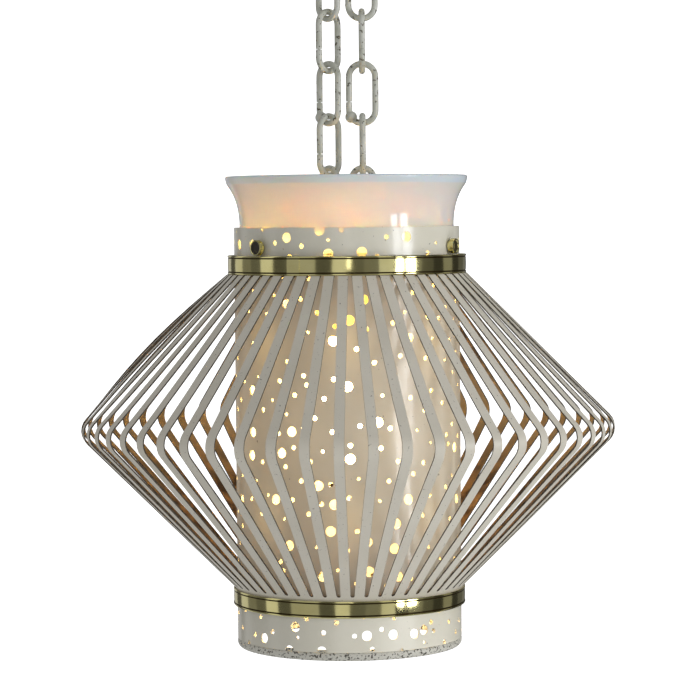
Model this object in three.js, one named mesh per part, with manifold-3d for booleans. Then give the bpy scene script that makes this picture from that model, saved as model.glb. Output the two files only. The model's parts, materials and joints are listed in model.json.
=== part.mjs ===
// Pendant light: a perforated steel drum stands inside a cage of bent steel strips, an opal glass
// collar sits in the top of the drum, and two short chains carry the whole lamp from a canopy.
// Millimetres, +Z up. The ceiling is z = 0, at the middle of the mounting strap's top face.
import * as THREE from 'three';
import { mergeVertices } from 'three/addons/utils/BufferGeometryUtils.js';
import Module from 'manifold-3d';

const wasm = await Module();
wasm.setup();

// Clearance between pieces that rest on each other, and round a pin in its hole
const SEAT_GAP = 0.3;

// Ceiling fitting
const STRAP_LENGTH = 90;
const STRAP_WIDTH = 20;
const STRAP_THICK = 3;
const STRAP_SCREW_INSET = 5;
const STRAP_SCREW_HOLE = 4.5;
const CANOPY_RADIUS = 55;
const CANOPY_DEPTH = 18;
const CANOPY_WALL = 1.2;
const CANOPY_FLAT_RADIUS = 22;

// Chain: round wire links, two strands side by side
const WIRE = 4.2;
const LINK_WIDTH = 21.5;
const LINK_PITCH = 34.2;
const LINK_PLAY = 0.55;
const LINKS_PER_STRAND = 4;
const STRAND_GAP = 0.5;
const LEFT_TWIST = -45;
const RIGHT_TWIST = 0;

// Eye bolts at both ends of each strand
const EYE_BORE = 10;
const EYE_SHANK = 5;
const EYE_NECK = 2.75;
const SHOULDER_WIDTH = 7;
const SHOULDER_THICK = 1.5;
const EYE_NUT_WIDTH = 9;
const EYE_NUT_HEIGHT = 3;

// Opal glass collar, measured down from its rim
const RIM_BELOW_EYE = 5.05;
const COLLAR_HEIGHT = 50;
const MOUTH_FLARE = 9.5;
const LIP_HEIGHT = 5.3;
const LIP_TAPER = 1.2;
const FLARE_HEIGHT = 27.7;
const NECK_PLAY = 2.9;
const GLASS_WALL = 3;

// Perforated drum and the hoop at its foot
const DRUM_RADIUS = 74.2;
const DRUM_SHEET = 0.8;
const DRUM_TOP_DROP = 33.4;
const DRUM_HEIGHT = 270.8;
const HOOP_HEIGHT = 5.2;
const HOOP_WALL = 1.4;
const HOOP_LAP = 2;
const PERFORATIONS = 410;
const AZIMUTH_STEP = 0.7548777;
const HEIGHT_STEP = 0.5698403;
const LARGE_EVERY = 5;
const LARGE_HOLE = 6.5;
const FASTENER_MARGIN = 9;

// Large holes on the drum's front: azimuth and depth below the drum's top
const FRONT_HALF = 80;
const FRONT_HOLES = [
  [-70, 11], [-55, 11], [-31, 6.5], [-13.5, 2], [-9, 17], [7.5, 16], [31, 6.5],
  [8, 46], [-31, 49], [45, 57], [1, 59], [32, 71], [-7, 72], [0, 101], [-56, 105], [61, 106],
  [15, 124], [-29, 130], [-56, 132], [-35, 144], [69, 144], [1, 147], [-57, 147], [-15, 164],
  [-39, 174], [31, 174], [-7, 176], [-70, 177], [72, 178], [24, 189], [-9, 193], [9, 200],
  [-31, 203], [23, 205], [10, 219], [-13, 222], [25, 223],
  [-28, 255], [40, 259], [8.5, 260], [22, 260], [34, 260.5], [-48, 264.5], [-14, 270], [-31.5, 270.5],
];

// Cage: one sheet, slit into strips that are bent out to the waist
const STRIPS = 56;
const STRIP_WIDTH = 6.4;
const CAGE_SHEET = 1;
const WAIST_RADIUS = 176.6;
const WAIST_BELOW_BAND = 101.7;
const WAIST_BEND = 11;
const FIRST_STRIP_AZIMUTH = -1.8;
const UPPER_RING_BELOW_BAND = 1.3;
const LOWER_RING_ABOVE_BAND = 1.6;
const LOWER_FLARE = 5;

// Polished bands
const BAND_WALL = 1;
const UPPER_BAND_BELOW_DRUM_TOP = 18.3;
const UPPER_BAND_HEIGHT = 12.3;
const LOWER_BAND_ABOVE_DRUM_FOOT = 22.3;
const LOWER_BAND_HEIGHT = 11;

// Rivets and spacers that tie the spider, drum and cage together
const SPACER_LENGTH = 1.6;
const SPACER_WIDTH = 10;
const RIVET = 4;
const RIVET_HEAD = 7;
const RIVET_HEAD_HEIGHT = 1.5;
const RIVET_AZIMUTHS = [-92, 28, 148];
const UPPER_RIVET_BELOW_BAND_TOP = 6;

// Thumb screws that hold the collar
const THUMB_AZIMUTHS = [-47.5, 63, 187.75];
const THUMB_HEAD = 10;
const THUMB_HEAD_THICK = 3;
const THUMB_SHANK = 4;
const THUMB_BOSS = 7;
const THUMB_BOSS_LENGTH = 1.6;

// Spider, hanger bar and the threaded tube between them
const SPIDER_THICK = 2;
const SPIDER_HUB = 28;
const ARM_WIDTH = 12;
const TAB_BELOW_RIVET = 5;
const BAR_END = 11;
const BAR_WIDTH = 16;
const BAR_THICK = 3;
const TUBE = 10;
const TUBE_BORE = 6.5;
const TUBE_ABOVE_NUT = 3;
const TUBE_NUT_WIDTH = 14;
const TUBE_NUT_HEIGHT = 4;
const BUSHING_WIDTH = 13;
const BUSHING_RIM = 2;
const BUSHING_WALL = 1;
const BUSHING_CHAMFER = 0.6;
const BUSHING_DEPTH = 6;
const EYE_ABOVE_BUSHING = 1.2;

// Lamp holder
const HOLDER_WALL = 1.5;
const HOLDER_CAP_HEIGHT = 12;
const HOLDER_SHELL_HEIGHT = 36;
const CORE_DISC = 8;
const CORE_WALL = 4;
const THREAD_PLAY = 1;
const THREAD_WALL = 0.7;
const THREAD_LENGTH = 24;
const TONGUE_LENGTH = 14;
const TONGUE_WIDTH = 5;
const TONGUE_THICK = 0.8;
const TONGUE_PIN = 3;
const WIRE_HOLE = 4;

// Bulb, with its length measured from the tip of the cap
const BULB_LENGTH = 122;
const BULB_RADIUS = 32;
const BULB_CAP_RADIUS = 13.2;
const BULB_CAP_LENGTH = 24;
const BULB_CAP_WALL = 0.5;
const BULB_NECK_PLAY = 0.5;
const BULB_NECK_LENGTH = 30;
const BULB_GLASS_WALL = 1;
const BULB_TIP_RADIUS = 3.5;
const BULB_TIP_HEIGHT = 1;
const INSULATOR_RADIUS = 8;
const INSULATOR_HEIGHT = 2;
const INSULATOR_CROWN = 0.4;
const STEM_LENGTH = 46;
const STEM_ROD = 2.5;
const STEM_BEAD = 1;
const FILAMENT_WIRE = 1;
const FILAMENT_SPAN = 28;
const FILAMENT_DROP = 18;
const FILAMENT_SAG = 4;

// Heights that follow from the sizes above
const eyeRing = (EYE_BORE + WIRE) / 2;
const eyeReach = eyeRing + WIRE / 2;
const topEyeZ = -(CANOPY_DEPTH + SEAT_GAP + SHOULDER_THICK + EYE_NECK + eyeReach);
const strandSpacing = LINK_WIDTH + STRAND_GAP;
const linkRadius = (LINK_WIDTH - WIRE) / 2;
const linkHeight = LINK_PITCH + WIRE + LINK_PLAY;
const linkStraight = linkHeight - 2 * linkRadius;
const firstLinkTop = topEyeZ - eyeRing + WIRE + LINK_PLAY;
const bottomEyeTop = firstLinkTop - LINKS_PER_STRAND * LINK_PITCH;
const bottomEyeZ = bottomEyeTop - eyeRing;
const rimZ = bottomEyeTop - RIM_BELOW_EYE;
const collarFootZ = rimZ - COLLAR_HEIGHT;
const drumTopZ = rimZ - DRUM_TOP_DROP;
const drumFootZ = drumTopZ - DRUM_HEIGHT;
const drumInner = DRUM_RADIUS - DRUM_SHEET;
const neckRadius = drumInner - NECK_PLAY;
const mouthRadius = neckRadius + MOUTH_FLARE;
const hoopTopZ = drumFootZ - SEAT_GAP;

const upperBandTop = drumTopZ - UPPER_BAND_BELOW_DRUM_TOP;
const upperBandFoot = upperBandTop - UPPER_BAND_HEIGHT;
const lowerBandFoot = drumFootZ + LOWER_BAND_ABOVE_DRUM_FOOT;
const lowerBandTop = lowerBandFoot + LOWER_BAND_HEIGHT;
const spacerInner = DRUM_RADIUS + SEAT_GAP;
const upperRingInner = spacerInner + SPACER_LENGTH + SEAT_GAP;
const upperRingOuter = upperRingInner + CAGE_SHEET;
const upperRingFoot = upperBandFoot - UPPER_RING_BELOW_BAND;
const lowerRingInner = DRUM_RADIUS + SEAT_GAP;
const lowerRingOuter = lowerRingInner + CAGE_SHEET;
const lowerRingTop = lowerBandTop + LOWER_RING_ABOVE_BAND;
const upperBandInner = upperRingOuter + SEAT_GAP;
const lowerBandInner = lowerRingOuter + SEAT_GAP;
const waistZ = upperBandFoot - WAIST_BELOW_BAND;
const upperRivetZ = upperBandTop - UPPER_RIVET_BELOW_BAND_TOP;
const lowerRivetZ = (lowerBandTop + lowerBandFoot) / 2;
const thumbZ = upperBandTop + SEAT_GAP + THUMB_HEAD / 2;

const spiderTop = collarFootZ - SEAT_GAP;
const spiderFoot = spiderTop - SPIDER_THICK;
const tubeTop = bottomEyeZ - eyeReach - EYE_ABOVE_BUSHING - BUSHING_RIM - SEAT_GAP;
const barTop = tubeTop - TUBE_ABOVE_NUT - TUBE_NUT_HEIGHT - SEAT_GAP;
const tabHeight = spiderTop - upperRivetZ + TAB_BELOW_RIVET;
const spiderNutFoot = spiderFoot - SEAT_GAP - TUBE_NUT_HEIGHT;
const holderTop = spiderNutFoot - SEAT_GAP;
const holderCapFoot = holderTop - HOLDER_CAP_HEIGHT;
const threadInner = BULB_CAP_RADIUS + THREAD_PLAY;
const threadOuter = threadInner + THREAD_WALL;
const coreInner = threadOuter + SEAT_GAP;
const coreRadius = coreInner + CORE_WALL;
const holderInner = coreRadius + SEAT_GAP;
const holderRadius = holderInner + HOLDER_WALL;
const bulbNeckRadius = BULB_CAP_RADIUS - BULB_CAP_WALL - BULB_NECK_PLAY;
const tubeFoot = holderTop - HOLDER_WALL - SEAT_GAP;
const holderShellTop = holderCapFoot - SEAT_GAP;
const holderShellFoot = holderShellTop - HOLDER_SHELL_HEIGHT;
const coreTop = holderTop - HOLDER_CAP_HEIGHT / 2 - 2 * HOLDER_WALL;
const coreDiscFoot = coreTop - CORE_DISC;
const threadTop = coreDiscFoot - SEAT_GAP;
const tongueFoot = coreDiscFoot - SEAT_GAP - TONGUE_THICK;
const bulbTop = tongueFoot - SEAT_GAP;
const bulbFoot = bulbTop - BULB_LENGTH;

// Shared round count, so that facets of nested sheets stay parallel and each strip meets one facet
const stripPitch = 360 / STRIPS;
const sheetStart = THREE.MathUtils.degToRad(FIRST_STRIP_AZIMUTH + stripPitch / 2);
const SMALL_SIDES = 10;
const ROD_SIDES = 12;
const CUP_SIDES = 18;
const COLLAR_SIDES = 40;
const CANOPY_SIDES = 28;
const WIRE_SIDES = 8;

// Finishes
const PAINTED_STEEL = { color: 0xd8d4cb, roughness: 0.55, metalness: 0.1 };
const CHAIN_PAINT = { color: 0xded9cc, roughness: 0.6, metalness: 0.1 };
const POLISHED_BRASS = { color: 0xb7a262, roughness: 0.2, metalness: 1 };
const PLATED_STEEL = { color: 0xb9bbbd, roughness: 0.35, metalness: 0.9 };
const OPAL_GLASS = { color: 0xf0ece4, roughness: 0.12, metalness: 0 };
const CLEAR_GLASS = { color: 0xfff2d8, roughness: 0.05, metalness: 0 };
const CERAMIC = { color: 0xefece4, roughness: 0.5, metalness: 0 };
const BLACK_PLASTIC = { color: 0x1c1c1c, roughness: 0.45, metalness: 0 };

// A closed geometry as a solid that can be cut and joined
function solid(geometry) {
  const plain = geometry.clone();
  plain.deleteAttribute('normal');
  plain.deleteAttribute('uv');
  const merged = mergeVertices(plain, 1e-4);
  const kept = [];
  for (let i = 0; i < merged.index.count; i += 3) {
    const [a, b, c] = merged.index.array.slice(i, i + 3);
    if (a !== b && b !== c && c !== a) kept.push(a, b, c);
  }
  const mesh = new wasm.Mesh({
    numProp: 3,
    vertProperties: merged.attributes.position.array,
    triVerts: new Uint32Array(kept),
  });
  return new wasm.Manifold(mesh);
}

function geometryOf(body) {
  const mesh = body.getMesh();
  const geometry = new THREE.BufferGeometry();
  geometry.setAttribute('position', new THREE.BufferAttribute(mesh.vertProperties, 3));
  geometry.setIndex(new THREE.BufferAttribute(mesh.triVerts, 1));
  geometry.computeVertexNormals();
  return geometry;
}

function join(pieces) {
  return geometryOf(pieces.map(solid).reduce((whole, piece) => whole.add(piece)));
}

function cut(body, tools) {
  return geometryOf(tools.map(solid).reduce((rest, tool) => rest.subtract(tool), solid(body)));
}

// Turns an outline of [radius, height] points about Z; a ring's outline closes on itself
function turned(outline, segments = STRIPS, start = sheetStart) {
  const points = outline.map(([radius, height]) => new THREE.Vector2(radius, height));
  if (THREE.ShapeUtils.area(points) < 0) points.reverse();
  const onAxis = points[0].x === 0 && points[points.length - 1].x === 0;
  if (!onAxis) points.push(points[0].clone());
  return new THREE.LatheGeometry(points, segments, start).rotateX(Math.PI / 2);
}

function ring(inner, outer, low, high, segments, start) {
  return turned([[inner, low], [outer, low], [outer, high], [inner, high]], segments, start);
}

function box(width, depth, low, high) {
  return new THREE.BoxGeometry(width, depth, high - low).translate(0, 0, (low + high) / 2);
}

// An upright rod
function post(radius, low, high, sides = SMALL_SIDES) {
  const rod = new THREE.CylinderGeometry(radius, radius, high - low, sides);
  return rod.rotateX(Math.PI / 2).translate(0, 0, (low + high) / 2);
}

function hexNut(width, bore, low, height) {
  const high = low + height;
  const acrossCorners = width / Math.cos(Math.PI / 6);
  const hole = post(bore / 2 + SEAT_GAP, low - 1, high + 1, ROD_SIDES);
  return cut(post(acrossCorners / 2, low, high, 6), [hole]);
}

// A peg along the local Y axis, then turned to point outward at an azimuth from the front, -Y
function peg(radius, from, to, sides = SMALL_SIDES) {
  return new THREE.CylinderGeometry(radius, radius, to - from, sides).translate(0, (from + to) / 2, 0);
}

function outward(geometry, azimuth, height) {
  return geometry.rotateZ(Math.PI + THREE.MathUtils.degToRad(azimuth)).translate(0, 0, height);
}

function mirroredOutline(outer, inner) {
  return [...outer, ...inner.slice().reverse()];
}

const lamp = new THREE.Group();

function add(name, geometry, finish, x = 0) {
  const mesh = new THREE.Mesh(geometry, new THREE.MeshStandardMaterial(finish));
  mesh.name = name;
  mesh.position.x = x;
  lamp.add(mesh);
}

// Ceiling fitting: a strap with holes for screws and eye bolts, and a canopy that hides it
function makeStrap() {
  const screwX = STRAP_LENGTH / 2 - STRAP_SCREW_INSET;
  const holes = [-1, 1].flatMap((side) => [
    post(STRAP_SCREW_HOLE / 2, -STRAP_THICK - 1, 1).translate(side * screwX, 0, 0),
    post(EYE_SHANK / 2 + SEAT_GAP, -STRAP_THICK - 1, 1).translate(side * strandSpacing / 2, 0, 0),
  ]);
  return cut(box(STRAP_LENGTH, STRAP_WIDTH, -STRAP_THICK, 0), holes);
}

function canopyCurve(inset) {
  const edge = CANOPY_RADIUS - inset;
  const floor = -CANOPY_DEPTH + inset;
  const curve = new THREE.CubicBezierCurve(
    new THREE.Vector2(CANOPY_FLAT_RADIUS, floor),
    new THREE.Vector2((CANOPY_FLAT_RADIUS + edge) / 2, floor),
    new THREE.Vector2(edge, floor / 2),
    new THREE.Vector2(edge, -SEAT_GAP),
  );
  return [[0, floor], ...curve.getPoints(4).map((p) => [p.x, p.y])];
}

function makeCanopy() {
  const shell = turned(mirroredOutline(canopyCurve(0), canopyCurve(CANOPY_WALL)), CANOPY_SIDES, 0);
  const holes = [-1, 1].map((side) =>
    post(EYE_SHANK / 2 + SEAT_GAP, -CANOPY_DEPTH - 1, -CANOPY_DEPTH / 2)
      .translate(side * strandSpacing / 2, 0, 0));
  return cut(shell, holes);
}

// Links: a closed loop of round wire, swept as rings of points round an oval
function makeLink(topZ, planeAngle) {
  const arcSteps = 6;
  const sections = [];
  for (const side of [1, -1]) {
    for (let step = 0; step <= arcSteps; step += 1) {
      const angle = (step / arcSteps) * Math.PI + (side > 0 ? 0 : Math.PI);
      sections.push({ angle, lift: side * linkStraight / 2 });
    }
  }
  const positions = [];
  const index = [];
  sections.forEach(({ angle, lift }, s) => {
    const next = (s + 1) % sections.length;
    for (let k = 0; k < WIRE_SIDES; k += 1) {
      const around = (2 * Math.PI * k) / WIRE_SIDES;
      const reach = linkRadius + (WIRE / 2) * Math.cos(around);
      positions.push(reach * Math.cos(angle), (WIRE / 2) * Math.sin(around), lift + reach * Math.sin(angle));
      const k2 = (k + 1) % WIRE_SIDES;
      const [a, b] = [s * WIRE_SIDES + k, s * WIRE_SIDES + k2];
      const [c, d] = [next * WIRE_SIDES + k2, next * WIRE_SIDES + k];
      index.push(a, b, c, a, c, d);
    }
  });
  const link = new THREE.BufferGeometry();
  link.setAttribute('position', new THREE.Float32BufferAttribute(positions, 3));
  link.setIndex(index);
  link.computeVertexNormals();
  link.rotateZ(THREE.MathUtils.degToRad(planeAngle));
  return link.translate(0, 0, topZ - linkHeight / 2);
}

// A nut on an eye bolt, up against the face above it
function eyeNut(faceZ) {
  return hexNut(EYE_NUT_WIDTH, EYE_SHANK, faceZ - SEAT_GAP - EYE_NUT_HEIGHT, EYE_NUT_HEIGHT);
}

function tubeNut(low) {
  return hexNut(TUBE_NUT_WIDTH, TUBE, low, TUBE_NUT_HEIGHT);
}

// Eye bolt: a ring of the chain's wire with a shank; way is 1 where the shank points up
function makeEyeBolt(ringZ, planeAngle, way, shoulderZ, shankEnd) {
  const eye = new THREE.TorusGeometry(eyeRing, WIRE / 2, WIRE_SIDES, 14).rotateX(Math.PI / 2);
  eye.rotateZ(THREE.MathUtils.degToRad(planeAngle));
  const ends = [way * eyeRing, shankEnd - ringZ];
  const shank = post(EYE_SHANK / 2, Math.min(...ends), Math.max(...ends));
  const shoulder = post(SHOULDER_WIDTH / 2, shoulderZ - ringZ, shoulderZ - ringZ + SHOULDER_THICK);
  return join([eye, shank, shoulder]).translate(0, 0, ringZ);
}

function addStrand(side, x, twist) {
  const topShoulder = -CANOPY_DEPTH - SEAT_GAP - SHOULDER_THICK;
  const barShoulder = barTop + SEAT_GAP;
  const bottomEnd = barTop - BAR_THICK - SEAT_GAP - EYE_NUT_HEIGHT - 1;
  const bottomTurn = twist + 90 * (LINKS_PER_STRAND % 2);
  const topEye = makeEyeBolt(topEyeZ, twist + 90, 1, topShoulder, -STRAP_THICK / 2);
  const bottomEye = makeEyeBolt(bottomEyeZ, bottomTurn, -1, barShoulder, bottomEnd);
  add(`top_eye_${side}`, topEye, CHAIN_PAINT, x);
  add(`top_nut_${side}`, eyeNut(-STRAP_THICK), PLATED_STEEL, x);
  for (let link = 0; link < LINKS_PER_STRAND; link += 1) {
    const geometry = makeLink(firstLinkTop - link * LINK_PITCH, twist + 90 * (link % 2));
    add(`link_${side}_${link + 1}`, geometry, CHAIN_PAINT, x);
  }
  add(`bottom_eye_${side}`, bottomEye, CHAIN_PAINT, x);
  add(`bottom_nut_${side}`, eyeNut(barTop - BAR_THICK), PLATED_STEEL, x);
}

// Hanger bar, threaded tube, nuts and spider
function makeHangerBar() {
  const holes = [-1, 1].map((side) =>
    post(EYE_SHANK / 2 + SEAT_GAP, barTop - BAR_THICK - 1, barTop + 1)
      .translate(side * strandSpacing / 2, 0, 0));
  holes.push(post(TUBE / 2 + SEAT_GAP, barTop - BAR_THICK - 1, barTop + 1, ROD_SIDES));
  return cut(box(strandSpacing + 2 * BAR_END, BAR_WIDTH, barTop - BAR_THICK, barTop), holes);
}

function makeBushing() {
  const top = tubeTop + SEAT_GAP + BUSHING_RIM;
  const plug = TUBE_BORE / 2 - SEAT_GAP;
  const bore = plug - BUSHING_WALL;
  const rim = tubeTop + SEAT_GAP;
  return turned([
    [bore, tubeTop - BUSHING_DEPTH], [plug, tubeTop - BUSHING_DEPTH], [plug, rim],
    [BUSHING_WIDTH / 2, rim], [BUSHING_WIDTH / 2, top - BUSHING_CHAMFER],
    [BUSHING_WIDTH / 2 - BUSHING_CHAMFER, top], [bore, top],
  ], ROD_SIDES, 0);
}

function makeSpider() {
  const tabFace = drumInner - 2 * SEAT_GAP;
  const pieces = [post(SPIDER_HUB / 2, spiderFoot, spiderTop, CUP_SIDES)];
  const holes = [post(TUBE / 2 + SEAT_GAP, spiderFoot - 1, spiderTop + 1, ROD_SIDES)];
  for (const azimuth of RIVET_AZIMUTHS) {
    const arm = new THREE.BoxGeometry(ARM_WIDTH, tabFace, SPIDER_THICK);
    arm.translate(0, tabFace / 2, -SPIDER_THICK / 2);
    const tab = new THREE.BoxGeometry(ARM_WIDTH, SPIDER_THICK, tabHeight);
    tab.translate(0, tabFace - SPIDER_THICK / 2, -tabHeight / 2);
    pieces.push(outward(arm, azimuth, spiderTop), outward(tab, azimuth, spiderTop));
    holes.push(outward(pinHole(RIVET), azimuth, upperRivetZ));
  }
  return cut(join(pieces), holes);
}

// Rivets run out through spider, drum, spacer and cage ring, thumb screws through boss and drum;
// the hole for a pin is wider than it by the gap
function pinHole(pin) {
  return peg(pin / 2 + SEAT_GAP, neckRadius - GLASS_WALL, upperBandInner + BAND_WALL);
}

function makeRivet(headSeat, end, azimuth, height) {
  const head = new THREE.CylinderGeometry(RIVET_HEAD / 2, RIVET_HEAD / 3, RIVET_HEAD_HEIGHT, SMALL_SIDES);
  head.translate(0, headSeat - RIVET_HEAD_HEIGHT / 2, 0);
  const shank = peg(RIVET / 2, headSeat - RIVET_HEAD_HEIGHT / 2, end);
  return outward(join([head, shank]), azimuth, height);
}

function makeSpacer(azimuth) {
  const washer = peg(SPACER_WIDTH / 2, spacerInner, spacerInner + SPACER_LENGTH, ROD_SIDES);
  return outward(cut(washer, [pinHole(RIVET)]), azimuth, upperRivetZ);
}

// Opal collar: a short tapered lip, a flare and a straight neck
function collarCurve(inset) {
  const lipZ = rimZ - LIP_HEIGHT;
  const neckZ = lipZ - FLARE_HEIGHT;
  const lip = mouthRadius - LIP_TAPER - inset;
  const neck = neckRadius - inset;
  const flare = new THREE.CubicBezierCurve(
    new THREE.Vector2(lip, lipZ),
    new THREE.Vector2((lip + neck) / 2, lipZ - FLARE_HEIGHT / 5),
    new THREE.Vector2(neck, lipZ - FLARE_HEIGHT / 2),
    new THREE.Vector2(neck, neckZ),
  );
  return [[mouthRadius - inset, rimZ], ...flare.getPoints(6).map((p) => [p.x, p.y]), [neck, collarFootZ]];
}

function makeCollar() {
  return turned(mirroredOutline(collarCurve(0), collarCurve(GLASS_WALL)), COLLAR_SIDES, 0);
}

// Drum: the front's holes are listed. Round the back they are spread by two steady irrational steps
function makeDrum() {
  const shell = ring(drumInner, DRUM_RADIUS, drumFootZ, drumTopZ);
  const fasteners = [
    ...THUMB_AZIMUTHS.map((azimuth) => ({ pin: THUMB_SHANK, azimuth, height: thumbZ })),
    ...RIVET_AZIMUTHS.map((azimuth) => ({ pin: RIVET, azimuth, height: upperRivetZ })),
    ...RIVET_AZIMUTHS.map((azimuth) => ({ pin: RIVET, azimuth, height: lowerRivetZ })),
  ];
  const holes = fasteners.map(({ pin, azimuth, height }) => outward(pinHole(pin), azimuth, height));
  const places = FRONT_HOLES.map(([azimuth, drop]) => ({ azimuth, height: drumTopZ - drop }));
  for (let n = 0; n < PERFORATIONS; n += LARGE_EVERY) {
    const azimuth = 360 * ((n * AZIMUTH_STEP) % 1);
    const height = drumTopZ - DRUM_HEIGHT * ((n * HEIGHT_STEP) % 1);
    if (Math.abs(azimuth - 180) < 180 - FRONT_HALF) places.push({ azimuth, height });
  }
  for (const { azimuth, height } of places) {
    const clear = fasteners.every((fastener) => {
      const turn = THREE.MathUtils.euclideanModulo(azimuth - fastener.azimuth + 180, 360) - 180;
      const sideways = THREE.MathUtils.degToRad(turn) * DRUM_RADIUS;
      return Math.hypot(sideways, height - fastener.height) > FASTENER_MARGIN;
    });
    const hole = peg(LARGE_HOLE / 2, drumInner - 2, DRUM_RADIUS + 2, 6);
    if (clear) holes.push(outward(hole, azimuth, height));
  }
  return cut(shell, holes);
}

// Hoop at the drum's foot: a rolled edge with a lap that stands inside the sheet
function makeHoop() {
  const lapOuter = drumInner - SEAT_GAP;
  const inner = lapOuter - HOOP_WALL;
  const foot = hoopTopZ - HOOP_HEIGHT;
  const round = HOOP_HEIGHT / 4;
  return turned([
    [inner, foot], [DRUM_RADIUS - round, foot], [DRUM_RADIUS, foot + round], [DRUM_RADIUS, hoopTopZ],
    [lapOuter, hoopTopZ], [lapOuter, hoopTopZ + HOOP_LAP], [inner, hoopTopZ + HOOP_LAP],
  ]);
}

// Cage: two rings joined by strips, each strip a bent ribbon of the same sheet.
// The sheet turns outward right at the edges of the bands.
function waistArc() {
  const top = new THREE.Vector2((upperRingInner + upperRingOuter) / 2, upperRingFoot + CAGE_SHEET / 2);
  const knee = new THREE.Vector2(upperBandInner + BAND_WALL + SEAT_GAP, top.y);
  const foot = new THREE.Vector2((lowerRingInner + lowerRingOuter) / 2, lowerRingTop - CAGE_SHEET);
  const toTop = Math.atan2(knee.y - waistZ, WAIST_RADIUS - knee.x);
  const toFoot = Math.atan2(waistZ - foot.y, WAIST_RADIUS - foot.x);
  const half = (Math.PI - toTop - toFoot) / 2;
  const centreLine = WAIST_BEND - CAGE_SHEET / 2;
  const centre = new THREE.Vector2(WAIST_RADIUS - CAGE_SHEET / 2 - centreLine, waistZ);
  const arc = [];
  for (let step = 0; step <= 3; step += 1) {
    const angle = half * (1 - (2 * step) / 3);
    const spoke = new THREE.Vector2(Math.cos(angle), Math.sin(angle)).multiplyScalar(centreLine);
    arc.push(spoke.add(centre));
  }
  return [top, knee, ...arc, foot];
}

// Below the slits the sheet is whole, a short cone that starts at the lower band
function lowerFlare() {
  const [bend, foot] = waistArc().slice(-2);
  const edge = foot.clone().add(bend.sub(foot).setLength(LOWER_FLARE));
  return turned(ribbonOutline([edge, foot], CAGE_SHEET).map((point) => [point.x, point.y]));
}

function ribbonOutline(line, thickness) {
  const sides = [[], []];
  line.forEach((point, i) => {
    const before = line[Math.max(i - 1, 0)];
    const after = line[Math.min(i + 1, line.length - 1)];
    const [a, b] = [point.clone().sub(before).normalize(), after.clone().sub(point).normalize()];
    const along = a.add(b).normalize();
    const normal = new THREE.Vector2(-along.y, along.x).multiplyScalar(thickness / 2);
    sides[0].push(point.clone().add(normal));
    sides[1].push(point.clone().sub(normal));
  });
  return [...sides[0], ...sides[1].reverse()];
}

function makeCage() {
  const outline = new THREE.Shape(ribbonOutline(waistArc(), CAGE_SHEET));
  const strips = [];
  for (let strip = 0; strip < STRIPS; strip += 1) {
    const ribbon = new THREE.ExtrudeGeometry(outline, { depth: STRIP_WIDTH, bevelEnabled: false });
    ribbon.translate(0, 0, -STRIP_WIDTH / 2).rotateX(Math.PI / 2).rotateZ(Math.PI / 2);
    strips.push(outward(ribbon, FIRST_STRIP_AZIMUTH + strip * stripPitch, 0));
  }
  const upperRing = ring(upperRingInner, upperRingOuter, upperRingFoot, upperBandTop - SEAT_GAP);
  const lowerRing = ring(lowerRingInner, lowerRingOuter, lowerBandFoot, lowerRingTop);
  const holes = RIVET_AZIMUTHS.flatMap((azimuth) => [
    outward(pinHole(RIVET), azimuth, upperRivetZ),
    outward(pinHole(RIVET), azimuth, lowerRivetZ),
  ]);
  return cut(join([upperRing, lowerRing, lowerFlare(), ...strips]), holes);
}

// Thumb screws and the bosses that they run in
function makeThumbScrew(azimuth) {
  const headSeat = DRUM_RADIUS + SEAT_GAP + THUMB_BOSS_LENGTH + SEAT_GAP;
  const head = peg(THUMB_HEAD / 2, headSeat, headSeat + THUMB_HEAD_THICK, CUP_SIDES);
  const shank = peg(THUMB_SHANK / 2, neckRadius + SEAT_GAP, headSeat + 1);
  return outward(join([head, shank]), azimuth, thumbZ);
}

function makeThumbBoss(azimuth) {
  const from = DRUM_RADIUS + SEAT_GAP;
  const boss = peg(THUMB_BOSS / 2, from, from + THUMB_BOSS_LENGTH, ROD_SIDES);
  return outward(cut(boss, [pinHole(THUMB_SHANK)]), azimuth, thumbZ);
}

// Lamp holder
function makeHolderCap() {
  const crown = holderRadius / 2;
  const bore = TUBE / 2 + SEAT_GAP;
  return turned([
    [bore, holderTop], [crown, holderTop], [holderRadius, holderCapFoot + HOLDER_CAP_HEIGHT / 2],
    [holderRadius, holderCapFoot], [holderInner, holderCapFoot],
    [holderInner, holderCapFoot + HOLDER_CAP_HEIGHT / 2 - HOLDER_WALL / 2],
    [crown - HOLDER_WALL / 2, holderTop - HOLDER_WALL], [bore, holderTop - HOLDER_WALL],
  ], CUP_SIDES, 0);
}

function makeCore() {
  const cup = turned([
    [0, coreTop], [coreRadius, coreTop], [coreRadius, holderShellFoot + HOLDER_WALL],
    [coreInner, holderShellFoot + HOLDER_WALL], [coreInner, coreDiscFoot], [0, coreDiscFoot],
  ], CUP_SIDES, 0);
  const tongueHole = post(TONGUE_PIN / 2 + SEAT_GAP, coreDiscFoot - 1, coreTop + 1);
  const wireHoles = [-1, 1].map((side) =>
    post(WIRE_HOLE / 2, coreDiscFoot - 1, coreTop + 1).translate(side * coreInner / 2, coreInner / 3, 0));
  return cut(cup, [tongueHole, ...wireHoles]);
}

function makeTongue() {
  const blade = box(TONGUE_LENGTH, TONGUE_WIDTH, tongueFoot, tongueFoot + TONGUE_THICK);
  return join([blade, post(TONGUE_PIN / 2, tongueFoot + TONGUE_THICK / 2, coreTop)]);
}

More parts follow.
